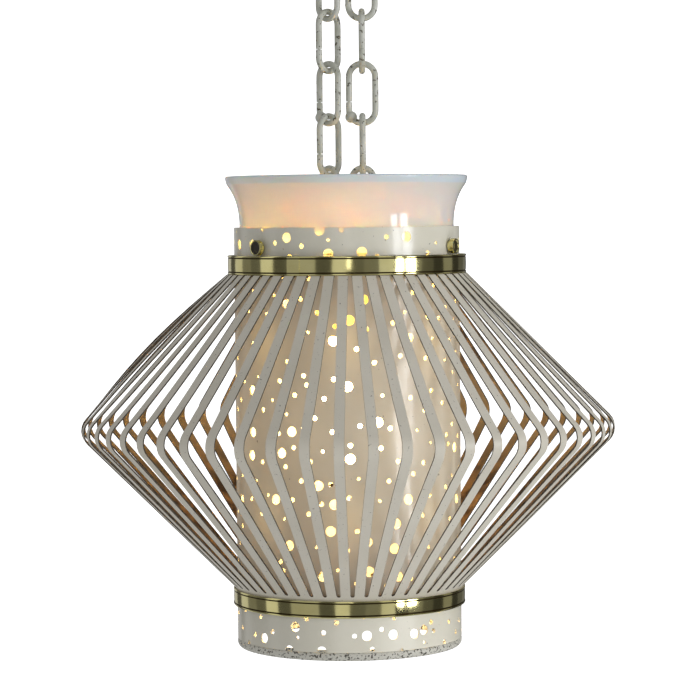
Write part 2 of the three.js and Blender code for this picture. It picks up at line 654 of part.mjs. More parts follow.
// Bulb
function bulbCurve(inset) {
  const neck = bulbNeckRadius - inset;
  const belly = BULB_RADIUS - inset;
  const neckFoot = bulbTop - BULB_NECK_LENGTH;
  const bellyZ = bulbFoot + BULB_RADIUS;
  const shoulder = new THREE.CubicBezierCurve(
    new THREE.Vector2(neck, neckFoot),
    new THREE.Vector2(neck, (2 * neckFoot + bellyZ) / 3),
    new THREE.Vector2(belly, (neckFoot + 2 * bellyZ) / 3),
    new THREE.Vector2(belly, bellyZ),
  );
  const points = [[neck, bulbTop - BULB_CAP_LENGTH / 2], ...shoulder.getPoints(4).map((p) => [p.x, p.y])];
  for (let step = 1; step <= 4; step += 1) {
    const angle = (step / 4) * (Math.PI / 2);
    points.push([step === 4 ? 0 : belly * Math.cos(angle), bellyZ - belly * Math.sin(angle)]);
  }
  return points;
}

function makeBulbGlass() {
  return turned(mirroredOutline(bulbCurve(0).reverse(), bulbCurve(BULB_GLASS_WALL).reverse()), CUP_SIDES, 0);
}

function makeBulbCap() {
  const top = bulbTop - BULB_TIP_HEIGHT - SEAT_GAP;
  const foot = bulbTop - BULB_CAP_LENGTH;
  const hole = INSULATOR_RADIUS + SEAT_GAP;
  const slope = BULB_CAP_RADIUS - hole;
  return turned([
    [BULB_CAP_RADIUS, foot], [BULB_CAP_RADIUS, top - slope], [hole, top], [hole, top - BULB_CAP_WALL],
    [BULB_CAP_RADIUS - BULB_CAP_WALL, top - slope - BULB_CAP_WALL], [BULB_CAP_RADIUS - BULB_CAP_WALL, foot],
  ], CUP_SIDES, 0);
}

function makeInsulator() {
  const top = bulbTop - BULB_TIP_HEIGHT - SEAT_GAP;
  return turned([
    [0, top - INSULATOR_HEIGHT], [INSULATOR_RADIUS, top - INSULATOR_HEIGHT],
    [INSULATOR_RADIUS, top - INSULATOR_CROWN], [BULB_TIP_RADIUS, top], [0, top],
  ], CUP_SIDES, 0);
}

function makeStem() {
  const top = bulbTop - BULB_CAP_LENGTH / 2;
  const foot = top - STEM_LENGTH;
  const flare = bulbNeckRadius - BULB_GLASS_WALL - SEAT_GAP;
  return turned([
    [0, top], [flare, top], [flare, top - 1], [flare / 2, top - STEM_LENGTH / 4],
    [STEM_ROD, top - STEM_LENGTH / 3], [STEM_ROD, foot + 3 * STEM_BEAD],
    [STEM_ROD + STEM_BEAD, foot + 2 * STEM_BEAD], [STEM_ROD + STEM_BEAD, foot + STEM_BEAD],
    [STEM_ROD - STEM_BEAD, foot], [0, foot],
  ], SMALL_SIDES, 0);
}

// One tungsten wire: down a lead, along a slack bow and up the other lead
function makeFilament() {
  const top = bulbTop - BULB_CAP_LENGTH / 2 - STEM_LENGTH - SEAT_GAP;
  const half = FILAMENT_SPAN / 2;
  const low = top - FILAMENT_DROP;
  const path = new THREE.CatmullRomCurve3([
    new THREE.Vector3(-STEM_ROD, 0, top),
    new THREE.Vector3(-half, 0, low + FILAMENT_SAG),
    new THREE.Vector3(-half + FILAMENT_SAG / 2, 0, low),
    new THREE.Vector3(0, 0, low + FILAMENT_SAG),
    new THREE.Vector3(half - FILAMENT_SAG / 2, 0, low),
    new THREE.Vector3(half, 0, low + FILAMENT_SAG),
    new THREE.Vector3(STEM_ROD, 0, top),
  ]);
  const section = new THREE.Shape();
  section.absarc(0, 0, FILAMENT_WIRE / 2, 0, 2 * Math.PI);
  return new THREE.ExtrudeGeometry(section, { steps: 18, extrudePath: path, curveSegments: 3 });
}

add('ceiling_strap', makeStrap(), PLATED_STEEL);
add('canopy', makeCanopy(), PAINTED_STEEL);
addStrand('left', -strandSpacing / 2, LEFT_TWIST);
addStrand('right', strandSpacing / 2, RIGHT_TWIST);

add('hanger_bar', makeHangerBar(), PLATED_STEEL);
add('stem_tube', ring(TUBE_BORE / 2, TUBE / 2, tubeFoot, tubeTop, ROD_SIDES, 0), PLATED_STEEL);
add('cord_bushing', makeBushing(), BLACK_PLASTIC);
add('bar_nut', tubeNut(barTop + SEAT_GAP), PLATED_STEEL);
add('spider_nut_top', tubeNut(spiderTop + SEAT_GAP), PLATED_STEEL);
add('spider_nut_bottom', tubeNut(spiderNutFoot), PLATED_STEEL);
add('spider', makeSpider(), PLATED_STEEL);

add('collar', makeCollar(), OPAL_GLASS);
add('drum', makeDrum(), PAINTED_STEEL);
add('foot_hoop', makeHoop(), PAINTED_STEEL);
add('cage', makeCage(), PAINTED_STEEL);
const upperBand = ring(upperBandInner, upperBandInner + BAND_WALL, upperBandFoot, upperBandTop);
const lowerBand = ring(lowerBandInner, lowerBandInner + BAND_WALL, lowerBandFoot, lowerBandTop);
add('upper_band', upperBand, POLISHED_BRASS);
add('lower_band', lowerBand, POLISHED_BRASS);

RIVET_AZIMUTHS.forEach((azimuth, i) => {
  const upperSeat = drumInner - 2 * SEAT_GAP - SPIDER_THICK - SEAT_GAP;
  const lowerSeat = drumInner - SEAT_GAP;
  add(`cage_spacer_${i + 1}`, makeSpacer(azimuth), PLATED_STEEL);
  add(`upper_rivet_${i + 1}`, makeRivet(upperSeat, upperRingOuter, azimuth, upperRivetZ), PLATED_STEEL);
  add(`lower_rivet_${i + 1}`, makeRivet(lowerSeat, lowerRingOuter, azimuth, lowerRivetZ), PLATED_STEEL);
});
THUMB_AZIMUTHS.forEach((azimuth, i) => {
  add(`thumb_boss_${i + 1}`, makeThumbBoss(azimuth), POLISHED_BRASS);
  add(`thumb_screw_${i + 1}`, makeThumbScrew(azimuth), POLISHED_BRASS);
});

add('holder_cap', makeHolderCap(), POLISHED_BRASS);
const holderShell = ring(holderInner, holderRadius, holderShellFoot, holderShellTop, CUP_SIDES, 0);
const threadSleeve = ring(threadInner, threadOuter, threadTop - THREAD_LENGTH, threadTop, CUP_SIDES, 0);
add('holder_shell', holderShell, POLISHED_BRASS);
add('holder_core', makeCore(), CERAMIC);
add('holder_thread', threadSleeve, POLISHED_BRASS);
add('holder_contact', makeTongue(), POLISHED_BRASS);

add('bulb_glass', makeBulbGlass(), CLEAR_GLASS);
add('bulb_cap', makeBulbCap(), PLATED_STEEL);
add('bulb_insulator', makeInsulator(), BLACK_PLASTIC);
add('bulb_tip', post(BULB_TIP_RADIUS, bulbTop - BULB_TIP_HEIGHT, bulbTop), PLATED_STEEL);
add('bulb_stem', makeStem(), CLEAR_GLASS);
add('filament', makeFilament(), PLATED_STEEL);

export default lamp;
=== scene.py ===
# %% [markdown]
# # A pendant light
# The lamp is a perforated white drum inside a cage of bent steel strips. An opal glass collar stands in
# the drum's top, two brass bands clamp the cage, and two short chains carry everything.
# The frame gives every piece's place and size. Here each piece gets its fine shape and its finish.

# %% Load the fixed frame
import json
import math

import bmesh
import bpy
from mathutils import Matrix, Vector

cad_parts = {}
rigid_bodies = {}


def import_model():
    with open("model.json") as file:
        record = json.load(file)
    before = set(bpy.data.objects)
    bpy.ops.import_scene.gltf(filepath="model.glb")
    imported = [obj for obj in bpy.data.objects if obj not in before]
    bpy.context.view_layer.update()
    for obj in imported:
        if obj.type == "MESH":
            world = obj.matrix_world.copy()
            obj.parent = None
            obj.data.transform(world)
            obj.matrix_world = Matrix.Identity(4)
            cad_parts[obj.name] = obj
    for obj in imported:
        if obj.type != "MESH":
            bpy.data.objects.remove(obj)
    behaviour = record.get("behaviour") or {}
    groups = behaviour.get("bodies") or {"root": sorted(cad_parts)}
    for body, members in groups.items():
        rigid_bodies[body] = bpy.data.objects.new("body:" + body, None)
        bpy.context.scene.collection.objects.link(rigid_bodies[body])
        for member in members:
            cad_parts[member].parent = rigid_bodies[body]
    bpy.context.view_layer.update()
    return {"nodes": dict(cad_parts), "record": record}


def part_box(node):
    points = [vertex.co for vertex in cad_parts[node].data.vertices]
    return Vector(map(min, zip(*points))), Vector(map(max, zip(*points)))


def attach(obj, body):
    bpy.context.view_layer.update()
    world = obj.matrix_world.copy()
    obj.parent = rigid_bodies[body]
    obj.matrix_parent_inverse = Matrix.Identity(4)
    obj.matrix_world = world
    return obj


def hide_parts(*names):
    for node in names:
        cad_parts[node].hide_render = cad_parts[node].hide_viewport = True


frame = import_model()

MM = 0.001

# %% [markdown]
# ## Sizes come from the frame
# A turned piece is known by how far its points lie from the lamp's axis and how high they are, so two
# small functions read that from a node. No size is guessed twice.

# %% Read radii and heights


def reach(node):
    spans = [math.hypot(v.co.x, v.co.y) for v in frame["nodes"][node].data.vertices]
    return min(spans), max(spans)


def heights(node):
    low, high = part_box(node)
    return low.z, high.z


rim = heights("collar")[1]
drum_foot, drum_top = heights("drum")
drum_inner, drum_outer = reach("drum")
print("rim", round(rim, 4), "drum", round(drum_foot, 4), round(drum_top, 4), round(drum_outer, 4))

# %% [markdown]
# ## The camera
# A long lens 1.7 m away, level with the lower edge of the glass collar and tipped down a little.
# Tipping it, and not shifting the lens, gives the ellipses of the rims their real shape. The picture
# leans by half a degree, so the camera is rolled by as much.

# %% Camera at the photograph's angle
PICTURE = 700
FOCAL_PIXELS = 2614
CAMERA_BACK = 1725 * MM
CAMERA_ASIDE = 1.6 * MM
CAMERA_BELOW_RIM = 28.4 * MM
HORIZON_ROW = 219
ROLL = -0.47

tilt = math.atan((PICTURE / 2 - HORIZON_ROW) / FOCAL_PIXELS)
lens = bpy.data.cameras.new("camera")
lens.sensor_width = 36
lens.lens = FOCAL_PIXELS * lens.sensor_width / PICTURE
lens.clip_end = 50
camera = bpy.data.objects.new("camera", lens)
bpy.context.scene.collection.objects.link(camera)
aim = Matrix.Rotation(math.pi / 2 - tilt, 4, "X") @ Matrix.Rotation(math.radians(ROLL), 4, "Z")
camera.matrix_world = Matrix.Translation((CAMERA_ASIDE, -CAMERA_BACK, rim - CAMERA_BELOW_RIM)) @ aim
bpy.context.scene.camera = camera
print("lens", round(lens.lens, 1), "mm, tilt", round(math.degrees(tilt), 2))

# %% [markdown]
# ## Working by hand, in code
# An operator acts on all that is selected, so each piece starts with nothing selected. Faces, edges or
# points are then picked by where they lie. A modifier is applied as soon as it is set.

# %% Helpers for selecting, modifiers and finishing


def start_clean():
    if bpy.context.mode != "OBJECT":
        bpy.ops.object.mode_set(mode="OBJECT")
    bpy.ops.object.select_all(action="DESELECT")


def only(piece):
    start_clean()
    piece.select_set(True)
    bpy.context.view_layer.objects.active = piece


def pick(piece, kind, wanted):
    """Edit mode with only the wanted FACE, EDGE or VERT parts selected"""
    only(piece)
    bpy.ops.object.mode_set(mode="EDIT")
    bpy.ops.mesh.select_mode(type=kind)
    bpy.ops.mesh.select_all(action="DESELECT")
    shape = bmesh.from_edit_mesh(piece.data)
    parts = {"FACE": shape.faces, "EDGE": shape.edges, "VERT": shape.verts}[kind]
    for part in parts:
        if wanted(part):
            part.select_set(True)
    bmesh.update_edit_mesh(piece.data)


def apply_modifier(piece, kind, **settings):
    only(piece)
    modifier = piece.modifiers.new(kind.title(), kind)
    for name, value in settings.items():
        setattr(modifier, name, value)
    bpy.ops.object.modifier_apply(modifier=modifier.name)


def place_in_mesh(name):
    """The active object keeps its place in its mesh and sits at the origin itself"""
    bpy.ops.object.transform_apply(location=True, rotation=True, scale=True)
    piece = bpy.context.object
    piece.name = piece.data.name = name
    return piece


def cylinder(name, radius, depth, middle=(0, 0, 0), sides=24, **more):
    start_clean()
    bpy.ops.mesh.primitive_cylinder_add(vertices=sides, radius=radius, depth=depth, location=middle, **more)
    return place_in_mesh(name)


def combine(piece, other, operation, solver="EXACT"):
    """A Boolean that uses up the other piece"""
    apply_modifier(piece, "BOOLEAN", object=other, operation=operation, solver=solver)
    bpy.data.objects.remove(other)


def break_edges(piece, width, over=50, segments=1):
    """A small bevel along every edge sharper than so many degrees"""
    apply_modifier(piece, "BEVEL", width=width, segments=segments, limit_method="ANGLE",
                   angle_limit=math.radians(over))


def clean_mesh(piece):
    only(piece)
    bpy.ops.object.mode_set(mode="EDIT")
    bpy.ops.mesh.select_all(action="SELECT")
    bpy.ops.mesh.remove_doubles(threshold=0.002 * MM)
    bpy.ops.mesh.normals_make_consistent(inside=False)
    bpy.ops.object.mode_set(mode="OBJECT")


def copy_of(piece, name):
    twin = piece.copy()
    twin.data = piece.data.copy()
    twin.name = twin.data.name = name
    bpy.context.scene.collection.objects.link(twin)
    return twin


def joined(pieces, name):
    start_clean()
    for piece in pieces:
        piece.select_set(True)
    bpy.context.view_layer.objects.active = pieces[0]
    bpy.ops.object.join()
    whole = bpy.context.object
    whole.name = whole.data.name = name
    return whole


def settle(piece, body, slot, materials, *nodes, smooth=35):
    """The piece gets its finish, stands for its nodes and rides on its body"""
    only(piece)
    bpy.ops.object.shade_smooth_by_angle(angle=math.radians(smooth))
    if materials:
        piece.data.materials.clear()  # a Boolean leaves an empty slot behind
    for material in materials:
        piece.data.materials.append(material)
    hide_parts(*nodes)
    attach(piece, body)
    print(piece.name, "faces", len(piece.data.polygons), "stands for", len(nodes))


# %% [markdown]
# Spun pieces start as one point. It is extruded from corner to corner of the outline and the outline is
# spun round the axis, as on a lathe. A ring's outline closes on itself; a dome's begins or ends on the
# axis, where the spun copies of the end point merge into a pole.

# %% Spin an outline


def spun(name, outline, steps, closed=True):
    start_clean()
    radius, height = outline[0]
    bpy.ops.mesh.primitive_plane_add(size=MM, location=(radius, 0, height))
    piece = place_in_mesh(name)
    bpy.ops.object.mode_set(mode="EDIT")
    bpy.ops.mesh.select_mode(type="VERT")
    bpy.ops.mesh.select_all(action="SELECT")
    bpy.ops.mesh.merge(type="CENTER")
    corners = outline + outline[:1] if closed else outline
    for (r0, z0), (r1, z1) in zip(corners, corners[1:]):
        bpy.ops.mesh.extrude_vertices_move(TRANSFORM_OT_translate={"value": (r1 - r0, 0, z1 - z0)})
    bpy.ops.mesh.select_all(action="SELECT")
    bpy.ops.mesh.remove_doubles(threshold=0.002 * MM)
    bpy.ops.mesh.spin(steps=steps, angle=math.tau, center=(0, 0, 0), axis=(0, 0, 1))
    clean_mesh(piece)
    return piece


def bezier(start, pull_a, pull_b, end, steps):
    """Points along a curve, so that a flare or a shoulder is smooth"""
    points = []
    for step in range(steps + 1):
        t = step / steps
        weights = ((1 - t) ** 3, 3 * t * (1 - t) ** 2, 3 * t * t * (1 - t), t**3)
        corners = (start, pull_a, pull_b, end)
        points.append(tuple(sum(w * c[i] for w, c in zip(weights, corners)) for i in (0, 1)))
    return points


# %% [markdown]
# ## Finishes
# Each finish is a small tree of nodes. Colours are written as sRGB hex values, as a colour picker shows
# them, and one function turns them linear. Patterns read Object coordinates, which are metres here, so a
# pattern's scale is one over its real size in metres.

# %% Helpers for materials


def linear(hex_colour):
    channels = [int(hex_colour[i : i + 2], 16) / 255 for i in (1, 3, 5)]
    return [c / 12.92 if c <= 0.04045 else ((c + 0.055) / 1.055) ** 2.4 for c in channels] + [1.0]


def add_node(material, kind, inputs=None, **settings):
    node = material.node_tree.nodes.new(kind)
    for name, value in settings.items():
        setattr(node, name, value)
    for socket, value in (inputs or {}).items():
        if isinstance(value, bpy.types.NodeSocket):
            material.node_tree.links.new(value, node.inputs[socket])
        else:
            node.inputs[socket].default_value = value
    return node


def new_finish(name, **sockets):
    """A Principled material; a socket's name is written with underscores for its spaces"""
    material = bpy.data.materials.new(name)
    material.use_nodes = True
    shader = material.node_tree.nodes["Principled BSDF"]
    for socket, value in sockets.items():
        shader.inputs[socket.replace("_", " ")].default_value = value
    place = add_node(material, "ShaderNodeTexCoord").outputs["Object"]
    return material, shader, place


def noise(material, place, size, **more):
    """Cloudy noise; size is about how many millimetres one lump of it is across"""
    sockets = {"Vector": place, "Scale": 1 / (size * MM), **more}
    return add_node(material, "ShaderNodeTexNoise", sockets).outputs[0]


def remap(material, value, **ends):
    """Map Range; its sockets' names are written with underscores too"""
    sockets = {name.replace("_", " "): end for name, end in ends.items()}
    return add_node(material, "ShaderNodeMapRange", {"Value": value, **sockets}).outputs[0]


def blend(material, factor, at_zero, at_one):
    """Mixes two colours, each a hex value or a node's output"""
    first, second = (linear(c) if isinstance(c, str) else c for c in (at_zero, at_one))
    return add_node(material, "ShaderNodeMix", {0: factor, 6: first, 7: second}, data_type="RGBA").outputs[2]


def feed(material, output, shader, socket):
    material.node_tree.links.new(output, shader.inputs[socket])


def bumpy(material, shader, height, strength, depth):
    bump = add_node(material, "ShaderNodeBump", {"Height": height, "Strength": strength, "Distance": depth})
    feed(material, bump.outputs[0], shader, "Normal")


# %% [markdown]
# **Aged enamel on sheet steel.** The drum and canopy are sprayed off-white: a satin skin that has
# yellowed unevenly. Wide soft mottling shifts the colour and the gloss, and a few specks show where the
# paint has been knocked off.

# %% Enamel on the drum
CHIP_EDGE = 0.03


def enamel(name, light, dark, chip, chip_limit, speck, rough=0.38, gloss_change=0.18, mottle=40, ior=1.5):
    material, shader, place = new_finish(name, IOR=ior)
    wide = noise(material, place, mottle, Detail=5)
    fine = noise(material, place, speck, Detail=3, Roughness=0.6)
    worn = remap(material, fine, From_Min=chip_limit, From_Max=chip_limit + CHIP_EDGE)
    gloss = remap(material, wide, To_Min=rough - gloss_change / 2, To_Max=rough + gloss_change / 2)
    feed(material, blend(material, worn, blend(material, wide, dark, light), chip), shader, "Base Color")
    feed(material, gloss, shader, "Roughness")
    bumpy(material, shader, fine, 0.12, 0.2 * MM)
    return material


drum_enamel = enamel("enamel_on_sheet_steel", "#ECE8DA", "#DDD8C4", "#6B6258", 0.72, 3, rough=0.21,
                     gloss_change=0.06, ior=1.6)
strip_enamel = enamel("enamel_on_cut_strips", "#F3EDDE", "#D7D0BF", "#8B8172", 0.67, 1.6, rough=0.42)
hoop_enamel = enamel("chipped_enamel", "#EAE8DD", "#CFCCBF", "#4A453A", 0.56, 1.5, rough=0.55)
print("enamels made")

# %% [markdown]
# ** The strips' inner faces** were never sprayed. They are bare plated steel that has gone brown, and the bulb's light warms them further, so from the front they show orange between the pale strips. Towards the waist they turn pale tan: a painted highlight where the bends catch the light.

# %% Brown inner faces
HIGHLIGHT_STARTS, HIGHLIGHT_ENDS = 45 * MM, 8 * MM
patina_and_painted_highlight, shader, place = new_finish("tarnish_and_painted_highlight_on_inner_face", Metallic=0.35, Roughness=0.5)
patches = remap(patina_and_painted_highlight, noise(patina_and_painted_highlight, place, 12, Detail=6), From_Min=0.38, From_Max=0.62)
brown = blend(patina_and_painted_highlight, patches, "#57422C", "#B38A5B")
level = add_node(patina_and_painted_highlight, "ShaderNodeVectorMath", {0: place, 1: (1, 1, 0)}, operation="MULTIPLY")
spread = add_node(patina_and_painted_highlight, "ShaderNodeVectorMath", {0: level.outputs[0]}, operation="LENGTH")
tip_reach = reach("cage")[1]
# Close to the waist the brown blends into pale tan: a painted highlight on the bends
painted_highlight_near_tip = remap(patina_and_painted_highlight, spread.outputs["Value"], From_Min=tip_reach - HIGHLIGHT_STARTS,
                 From_Max=tip_reach - HIGHLIGHT_ENDS, To_Max=0.75)
feed(patina_and_painted_highlight, blend(patina_and_painted_highlight, painted_highlight_near_tip, brown, "#CDB083"), shader, "Base Color")

# %% [markdown]
# ** Opal glass.** White glass scatters light inside its wall, so the bulb below makes it glow while its skin still mirrors the window. Subsurface scattering over a few millimetres does both; the surface itself is fire-polished, so its roughness is low. The short lip is tinted a little bluer: painted shade, the cool look the lip keeps where the glow stops.

# %% Opal glass
LIP = 5.3 * MM
LIP_BLUR = 0.4 * MM
opal, shader, place = new_finish(
    "opal_glass", Roughness=0.07, IOR=1.52, Subsurface_Weight=0.9, Subsurface_Scale=3.5 * MM,
    Subsurface_Radius=(1.0, 0.85, 0.7),
)
milk = blend(opal, noise(opal, place, 60, Detail=2), "#E8E8E8", "#E1E2E5")
height = add_node(opal, "ShaderNodeSeparateXYZ", {"Vector": place}).outputs["Z"]
# The lip is tinted bluer: painted shade where the glow from inside stops
lip_shade_mask = remap(opal, height, From_Min=rim - LIP - LIP_BLUR, From_Max=rim - LIP + LIP_BLUR)
feed(opal, blend(opal, lip_shade_mask, milk, "#DBE5EF"), shader, "Base Color")

# %% [markdown]
# **Polished brass.** A metal's colour is its base colour and it has no other. A little tarnish changes
# the tone and the roughness, and a shallow swell in the rolled strip bends what it mirrors.

# %% Brass and plated steel


def metal(name, bright, dull, rough, grain, wavy=0.0):
    material, shader, place = new_finish(name, Metallic=1.0)
    stain = noise(material, place, grain, Detail=5)
    feed(material, blend(material, stain, bright, dull), shader, "Base Color")
    feed(material, remap(material, stain, To_Min=rough * 0.7, To_Max=rough * 1.4), shader, "Roughness")
    if wavy:
        bumpy(material, shader, noise(material, place, 18, Detail=1), wavy, 0.5 * MM)
    return material


brass = metal("polished_brass", "#EEE7AC", "#D8CC88", 0.10, 14, wavy=0.35)
# Dark brass for the grooves beside the beads: painted shade in the recesses
groove_shade = metal("painted_shade_in_the_groove", "#6B5A2E", "#3B3018", 0.45, 6)
plated = metal("zinc_plated_steel", "#C9CBCD", "#A9ABAD", 0.34, 6)
cap_metal = metal("rolled_aluminium", "#DAD8D2", "#BDBAB2", 0.3, 5)
print("metals made")

# %% [markdown]
# **Chain paint, glass, porcelain and plastic.** The chain was brushed with house paint, thick and
# yellowed, thin where the links rub. The bulb's glass is frosted and lit, so it is its own lamp.

# %% The other finishes
chain_paint = enamel("brushed_chain_paint", "#F0F0EA", "#A6A892", "#5F5B48", 0.60, 2.6, rough=0.36, mottle=9)
porcelain = enamel("unglazed_porcelain", "#EFECE3", "#E2DDD1", "#CFC8B8", 0.75, 2, rough=0.5)
black_plastic = enamel("moulded_black_plastic", "#262524", "#1B1A1A", "#3A3938", 0.72, 1.5, rough=0.45)

BULB_GLOW = (1.0, 0.66, 0.26, 1.0)
lit_glass, shader, place = new_finish(
    "frosted_lit_glass", Base_Color=linear("#FFF3DC"), Roughness=0.35, IOR=1.5,
    Emission_Color=BULB_GLOW, Emission_Strength=24.0,
)
bumpy(lit_glass, shader, noise(lit_glass, place, 0.8, Detail=2), 0.1, 0.05 * MM)

clear_glass, shader, place = new_finish("clear_stem_glass", Roughness=0.03, IOR=1.5, Transmission_Weight=1.0)
bumpy(clear_glass, shader, noise(clear_glass, place, 6), 0.05, 0.1 * MM)

FILAMENT_GLOW = (1.0, 0.62, 0.25, 1.0)
tungsten, shader, place = new_finish(
    "hot_tungsten", Base_Color=linear("#C9B79A"), Metallic=1.0, Roughness=0.3,
    Emission_Color=FILAMENT_GLOW, Emission_Strength=20.0,
)
bumpy(tungsten, shader, noise(tungsten, place, 1), 0.1, 0.05 * MM)
print("finishes made:", len(bpy.data.materials))

# %% [markdown]
# ## The drum
# The drum is sheet steel 0.8 mm thick, punched with round holes in three sizes. The large holes of the
# front half are those of the CAD, by azimuth from the front and depth below the drum's top. Their places
# were read off the picture in pixels, and a separate calculation turned those into angles and depths.
# At the back, two irrational steps spread the large holes evenly without rows. The same steps, shifted,
# place the smaller holes all round, wherever there is room.

# %% Where the holes go
LARGE, SMALL, TINY = 6.5 * MM, 3.2 * MM, 2.2 * MM
LARGE_STEPS, LARGE_EVERY = 410, 5
SMALL_STEPS, TINY_EVERY = 640, 4
SMALL_SHIFT = 0.37
AZIMUTH_STEP = 0.7548777
HEIGHT_STEP = 0.5698403
FASTENER_MARGIN = 9 * MM
FRONT_HALF = 80
BRIDGE = 2.2 * MM
FRONT_HOLES = [
    (-70, 11), (-55, 11), (-31, 6.5), (-13.5, 2), (-9, 17), (7.5, 16), (31, 6.5),
    (8, 46), (-31, 49), (45, 57), (1, 59), (32, 71), (-7, 72), (0, 101), (-56, 105), (61, 106),
    (15, 124), (-29, 130), (-56, 132), (-35, 144), (69, 144), (1, 147), (-57, 147), (-15, 164),
    (-39, 174), (31, 174), (-7, 176), (-70, 177), (72, 178), (24, 189), (-9, 193), (9, 200),
    (-31, 203), (23, 205), (10, 219), (-13, 222), (25, 223),
    (-28, 255), (40, 259), (8.5, 260), (22, 260), (34, 260.5), (-48, 264.5), (-14, 270), (-31.5, 270.5),
]
fasteners = []
for node in ("thumb_boss_1", "thumb_boss_2", "thumb_boss_3", "upper_rivet_1", "upper_rivet_2",
             "upper_rivet_3", "lower_rivet_1", "lower_rivet_2", "lower_rivet_3"):
    low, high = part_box(node)
    fasteners.append((low + high) / 2)


def on_drum(azimuth, height, radius):
    turn = math.radians(azimuth)
    return Vector((radius * math.sin(turn), -radius * math.cos(turn), height))


def clear_of_fasteners(azimuth, height):
    for fastener in fasteners:
        turn = math.degrees(math.atan2(fastener.x, -fastener.y)) - azimuth
        side = math.radians((turn + 180) % 360 - 180) * drum_outer
        if math.hypot(side, height - fastener.z) < FASTENER_MARGIN:
            return False
    return True


def apart(azimuth, height, size):
    for other_azimuth, other_height, other_size in holes:
        side = math.radians((azimuth - other_azimuth + 180) % 360 - 180) * drum_outer
        if math.hypot(side, height - other_height) < (size + other_size) / 2 + BRIDGE:
            return False
    return True


def sequence(steps, shift=0.0):
    for n in range(steps):
        azimuth = 360 * ((shift + n * AZIMUTH_STEP) % 1)
        yield n, azimuth, drum_top - (drum_top - drum_foot) * ((shift + n * HEIGHT_STEP) % 1)


holes = [(azimuth, drum_top - depth * MM, LARGE) for azimuth, depth in FRONT_HOLES
         if clear_of_fasteners(azimuth, drum_top - depth * MM)]
for n, azimuth, height in sequence(LARGE_STEPS):
    if n % LARGE_EVERY == 0 and abs(azimuth - 180) < 180 - FRONT_HALF and clear_of_fasteners(azimuth, height):
        holes.append((azimuth, height, LARGE))
large_count = len(holes)
for n, azimuth, height in sequence(SMALL_STEPS, SMALL_SHIFT):
    size = TINY if n % TINY_EVERY == 0 else SMALL
    if clear_of_fasteners(azimuth, height) and apart(azimuth, height, size):
        holes.append((azimuth, height, size))
print("holes", len(holes), "of which large", large_count)

# %% Cut the holes in the drum
DRUM_SIDES = 224
LARGE_SIDES, SMALL_SIDES = 24, 12
PEG = 8 * MM
drum = cylinder("perforated_drum", drum_outer, drum_top - drum_foot, (0, 0, (drum_top + drum_foot) / 2),
                DRUM_SIDES, end_fill_type="NOTHING")
apply_modifier(drum, "SOLIDIFY", thickness=drum_outer - drum_inner, offset=-1)

models = [cylinder("peg", 0.5, PEG, sides=sides, rotation=(math.pi / 2, 0, 0))
          for sides in (LARGE_SIDES, SMALL_SIDES)]
pegs = []
for azimuth, height, size in holes:
    copy = copy_of(models[0] if size == LARGE else models[1], "peg_copy")
    copy.data.transform(Matrix.Diagonal((size, 1, size, 1)))
    copy.data.transform(Matrix.Translation((0, -drum_outer, height)))
    copy.data.transform(Matrix.Rotation(math.radians(azimuth), 4, "Z"))
    pegs.append(copy)
combine(drum, joined(pegs, "punch"), "DIFFERENCE", solver="MANIFOLD")
for used in models:
    bpy.data.objects.remove(used)
settle(drum, "fixture", "painted_sheet", [drum_enamel], "drum", smooth=25)

# %% [markdown]
# ## The hoop at the drum's foot
# A rolled steel hoop finishes the lower edge: a rounded bead outside and a flange that stands up inside
# the sheet. Its paint is badly chipped, because it is what people knock when they change the bulb.

# %% Foot hoop
hoop_foot, hoop_lap = heights("foot_hoop")
hoop_top = drum_foot - 0.3 * MM
hoop_inner = reach("foot_hoop")[0]
lap_outer = drum_inner - 0.4 * MM
bead = bezier((drum_outer, hoop_top - 0.8 * MM), (drum_outer + 0.5 * MM, hoop_foot + 2 * MM),
              (drum_outer - 0.6 * MM, hoop_foot), (drum_outer - 2 * MM, hoop_foot), 7)
outline = [(drum_outer - 0.5 * MM, hoop_top)] + bead
outline += [(hoop_inner + 0.5 * MM, hoop_foot), (hoop_inner, hoop_foot + 0.5 * MM),
            (hoop_inner, hoop_lap), (lap_outer, hoop_lap), (lap_outer, hoop_top)]
hoop = spun("foot_hoop_rolled", outline, DRUM_SIDES)
settle(hoop, "fixture", "painted_sheet", [hoop_enamel], "foot_hoop")

# %% [markdown]
# ## The cage
# The cage is one sheet, slit into 56 strips, rolled into a tube and pressed so that the strips bow out to a
# bend at the waist. One sector is modelled: a grid's rows are laid along the upper ring, the strip and the
# lower ring. Spin in duplicate mode repeats it, the rings' seams are merged, and Solidify gives the sheet its
# 1 mm.

# %% Measures of the cage
STRIPS = 56
STRIP_WIDTH = 6.4 * MM
SHEET = 1.0 * MM
FIRST_STRIP = -1.8
pitch = 360 / STRIPS
cage_foot, cage_top = heights("cage")
waist_radius = reach("cage")[1]
upper_band_foot = heights("upper_band")[0]
lower_band_top = heights("lower_band")[1]
points = [v.co for v in frame["nodes"]["cage"].data.vertices]
ring_radii = sorted(math.hypot(p.x, p.y) for p in points if p.z < lower_band_top)
lower_radius = (ring_radii[0] + ring_radii[-1]) / 2
ring_radii = sorted(math.hypot(p.x, p.y) for p in points if p.z > upper_band_foot + MM)
upper_radius = (ring_radii[0] + ring_radii[-1]) / 2
waist_heights = [p.z for p in points if math.hypot(p.x, p.y) > waist_radius - 3 * MM]
waist_height = (min(waist_heights) + max(waist_heights)) / 2
under_band = upper_band_foot - 0.62 * MM
slit_top = under_band + 2.0 * MM
slit_foot = lower_band_top + 3.2 * MM
print("cage rings", round(upper_radius, 5), round(lower_radius, 5))
print("waist", round(waist_radius, 5), round(waist_height, 5))

# %% The strip's path, with its bends


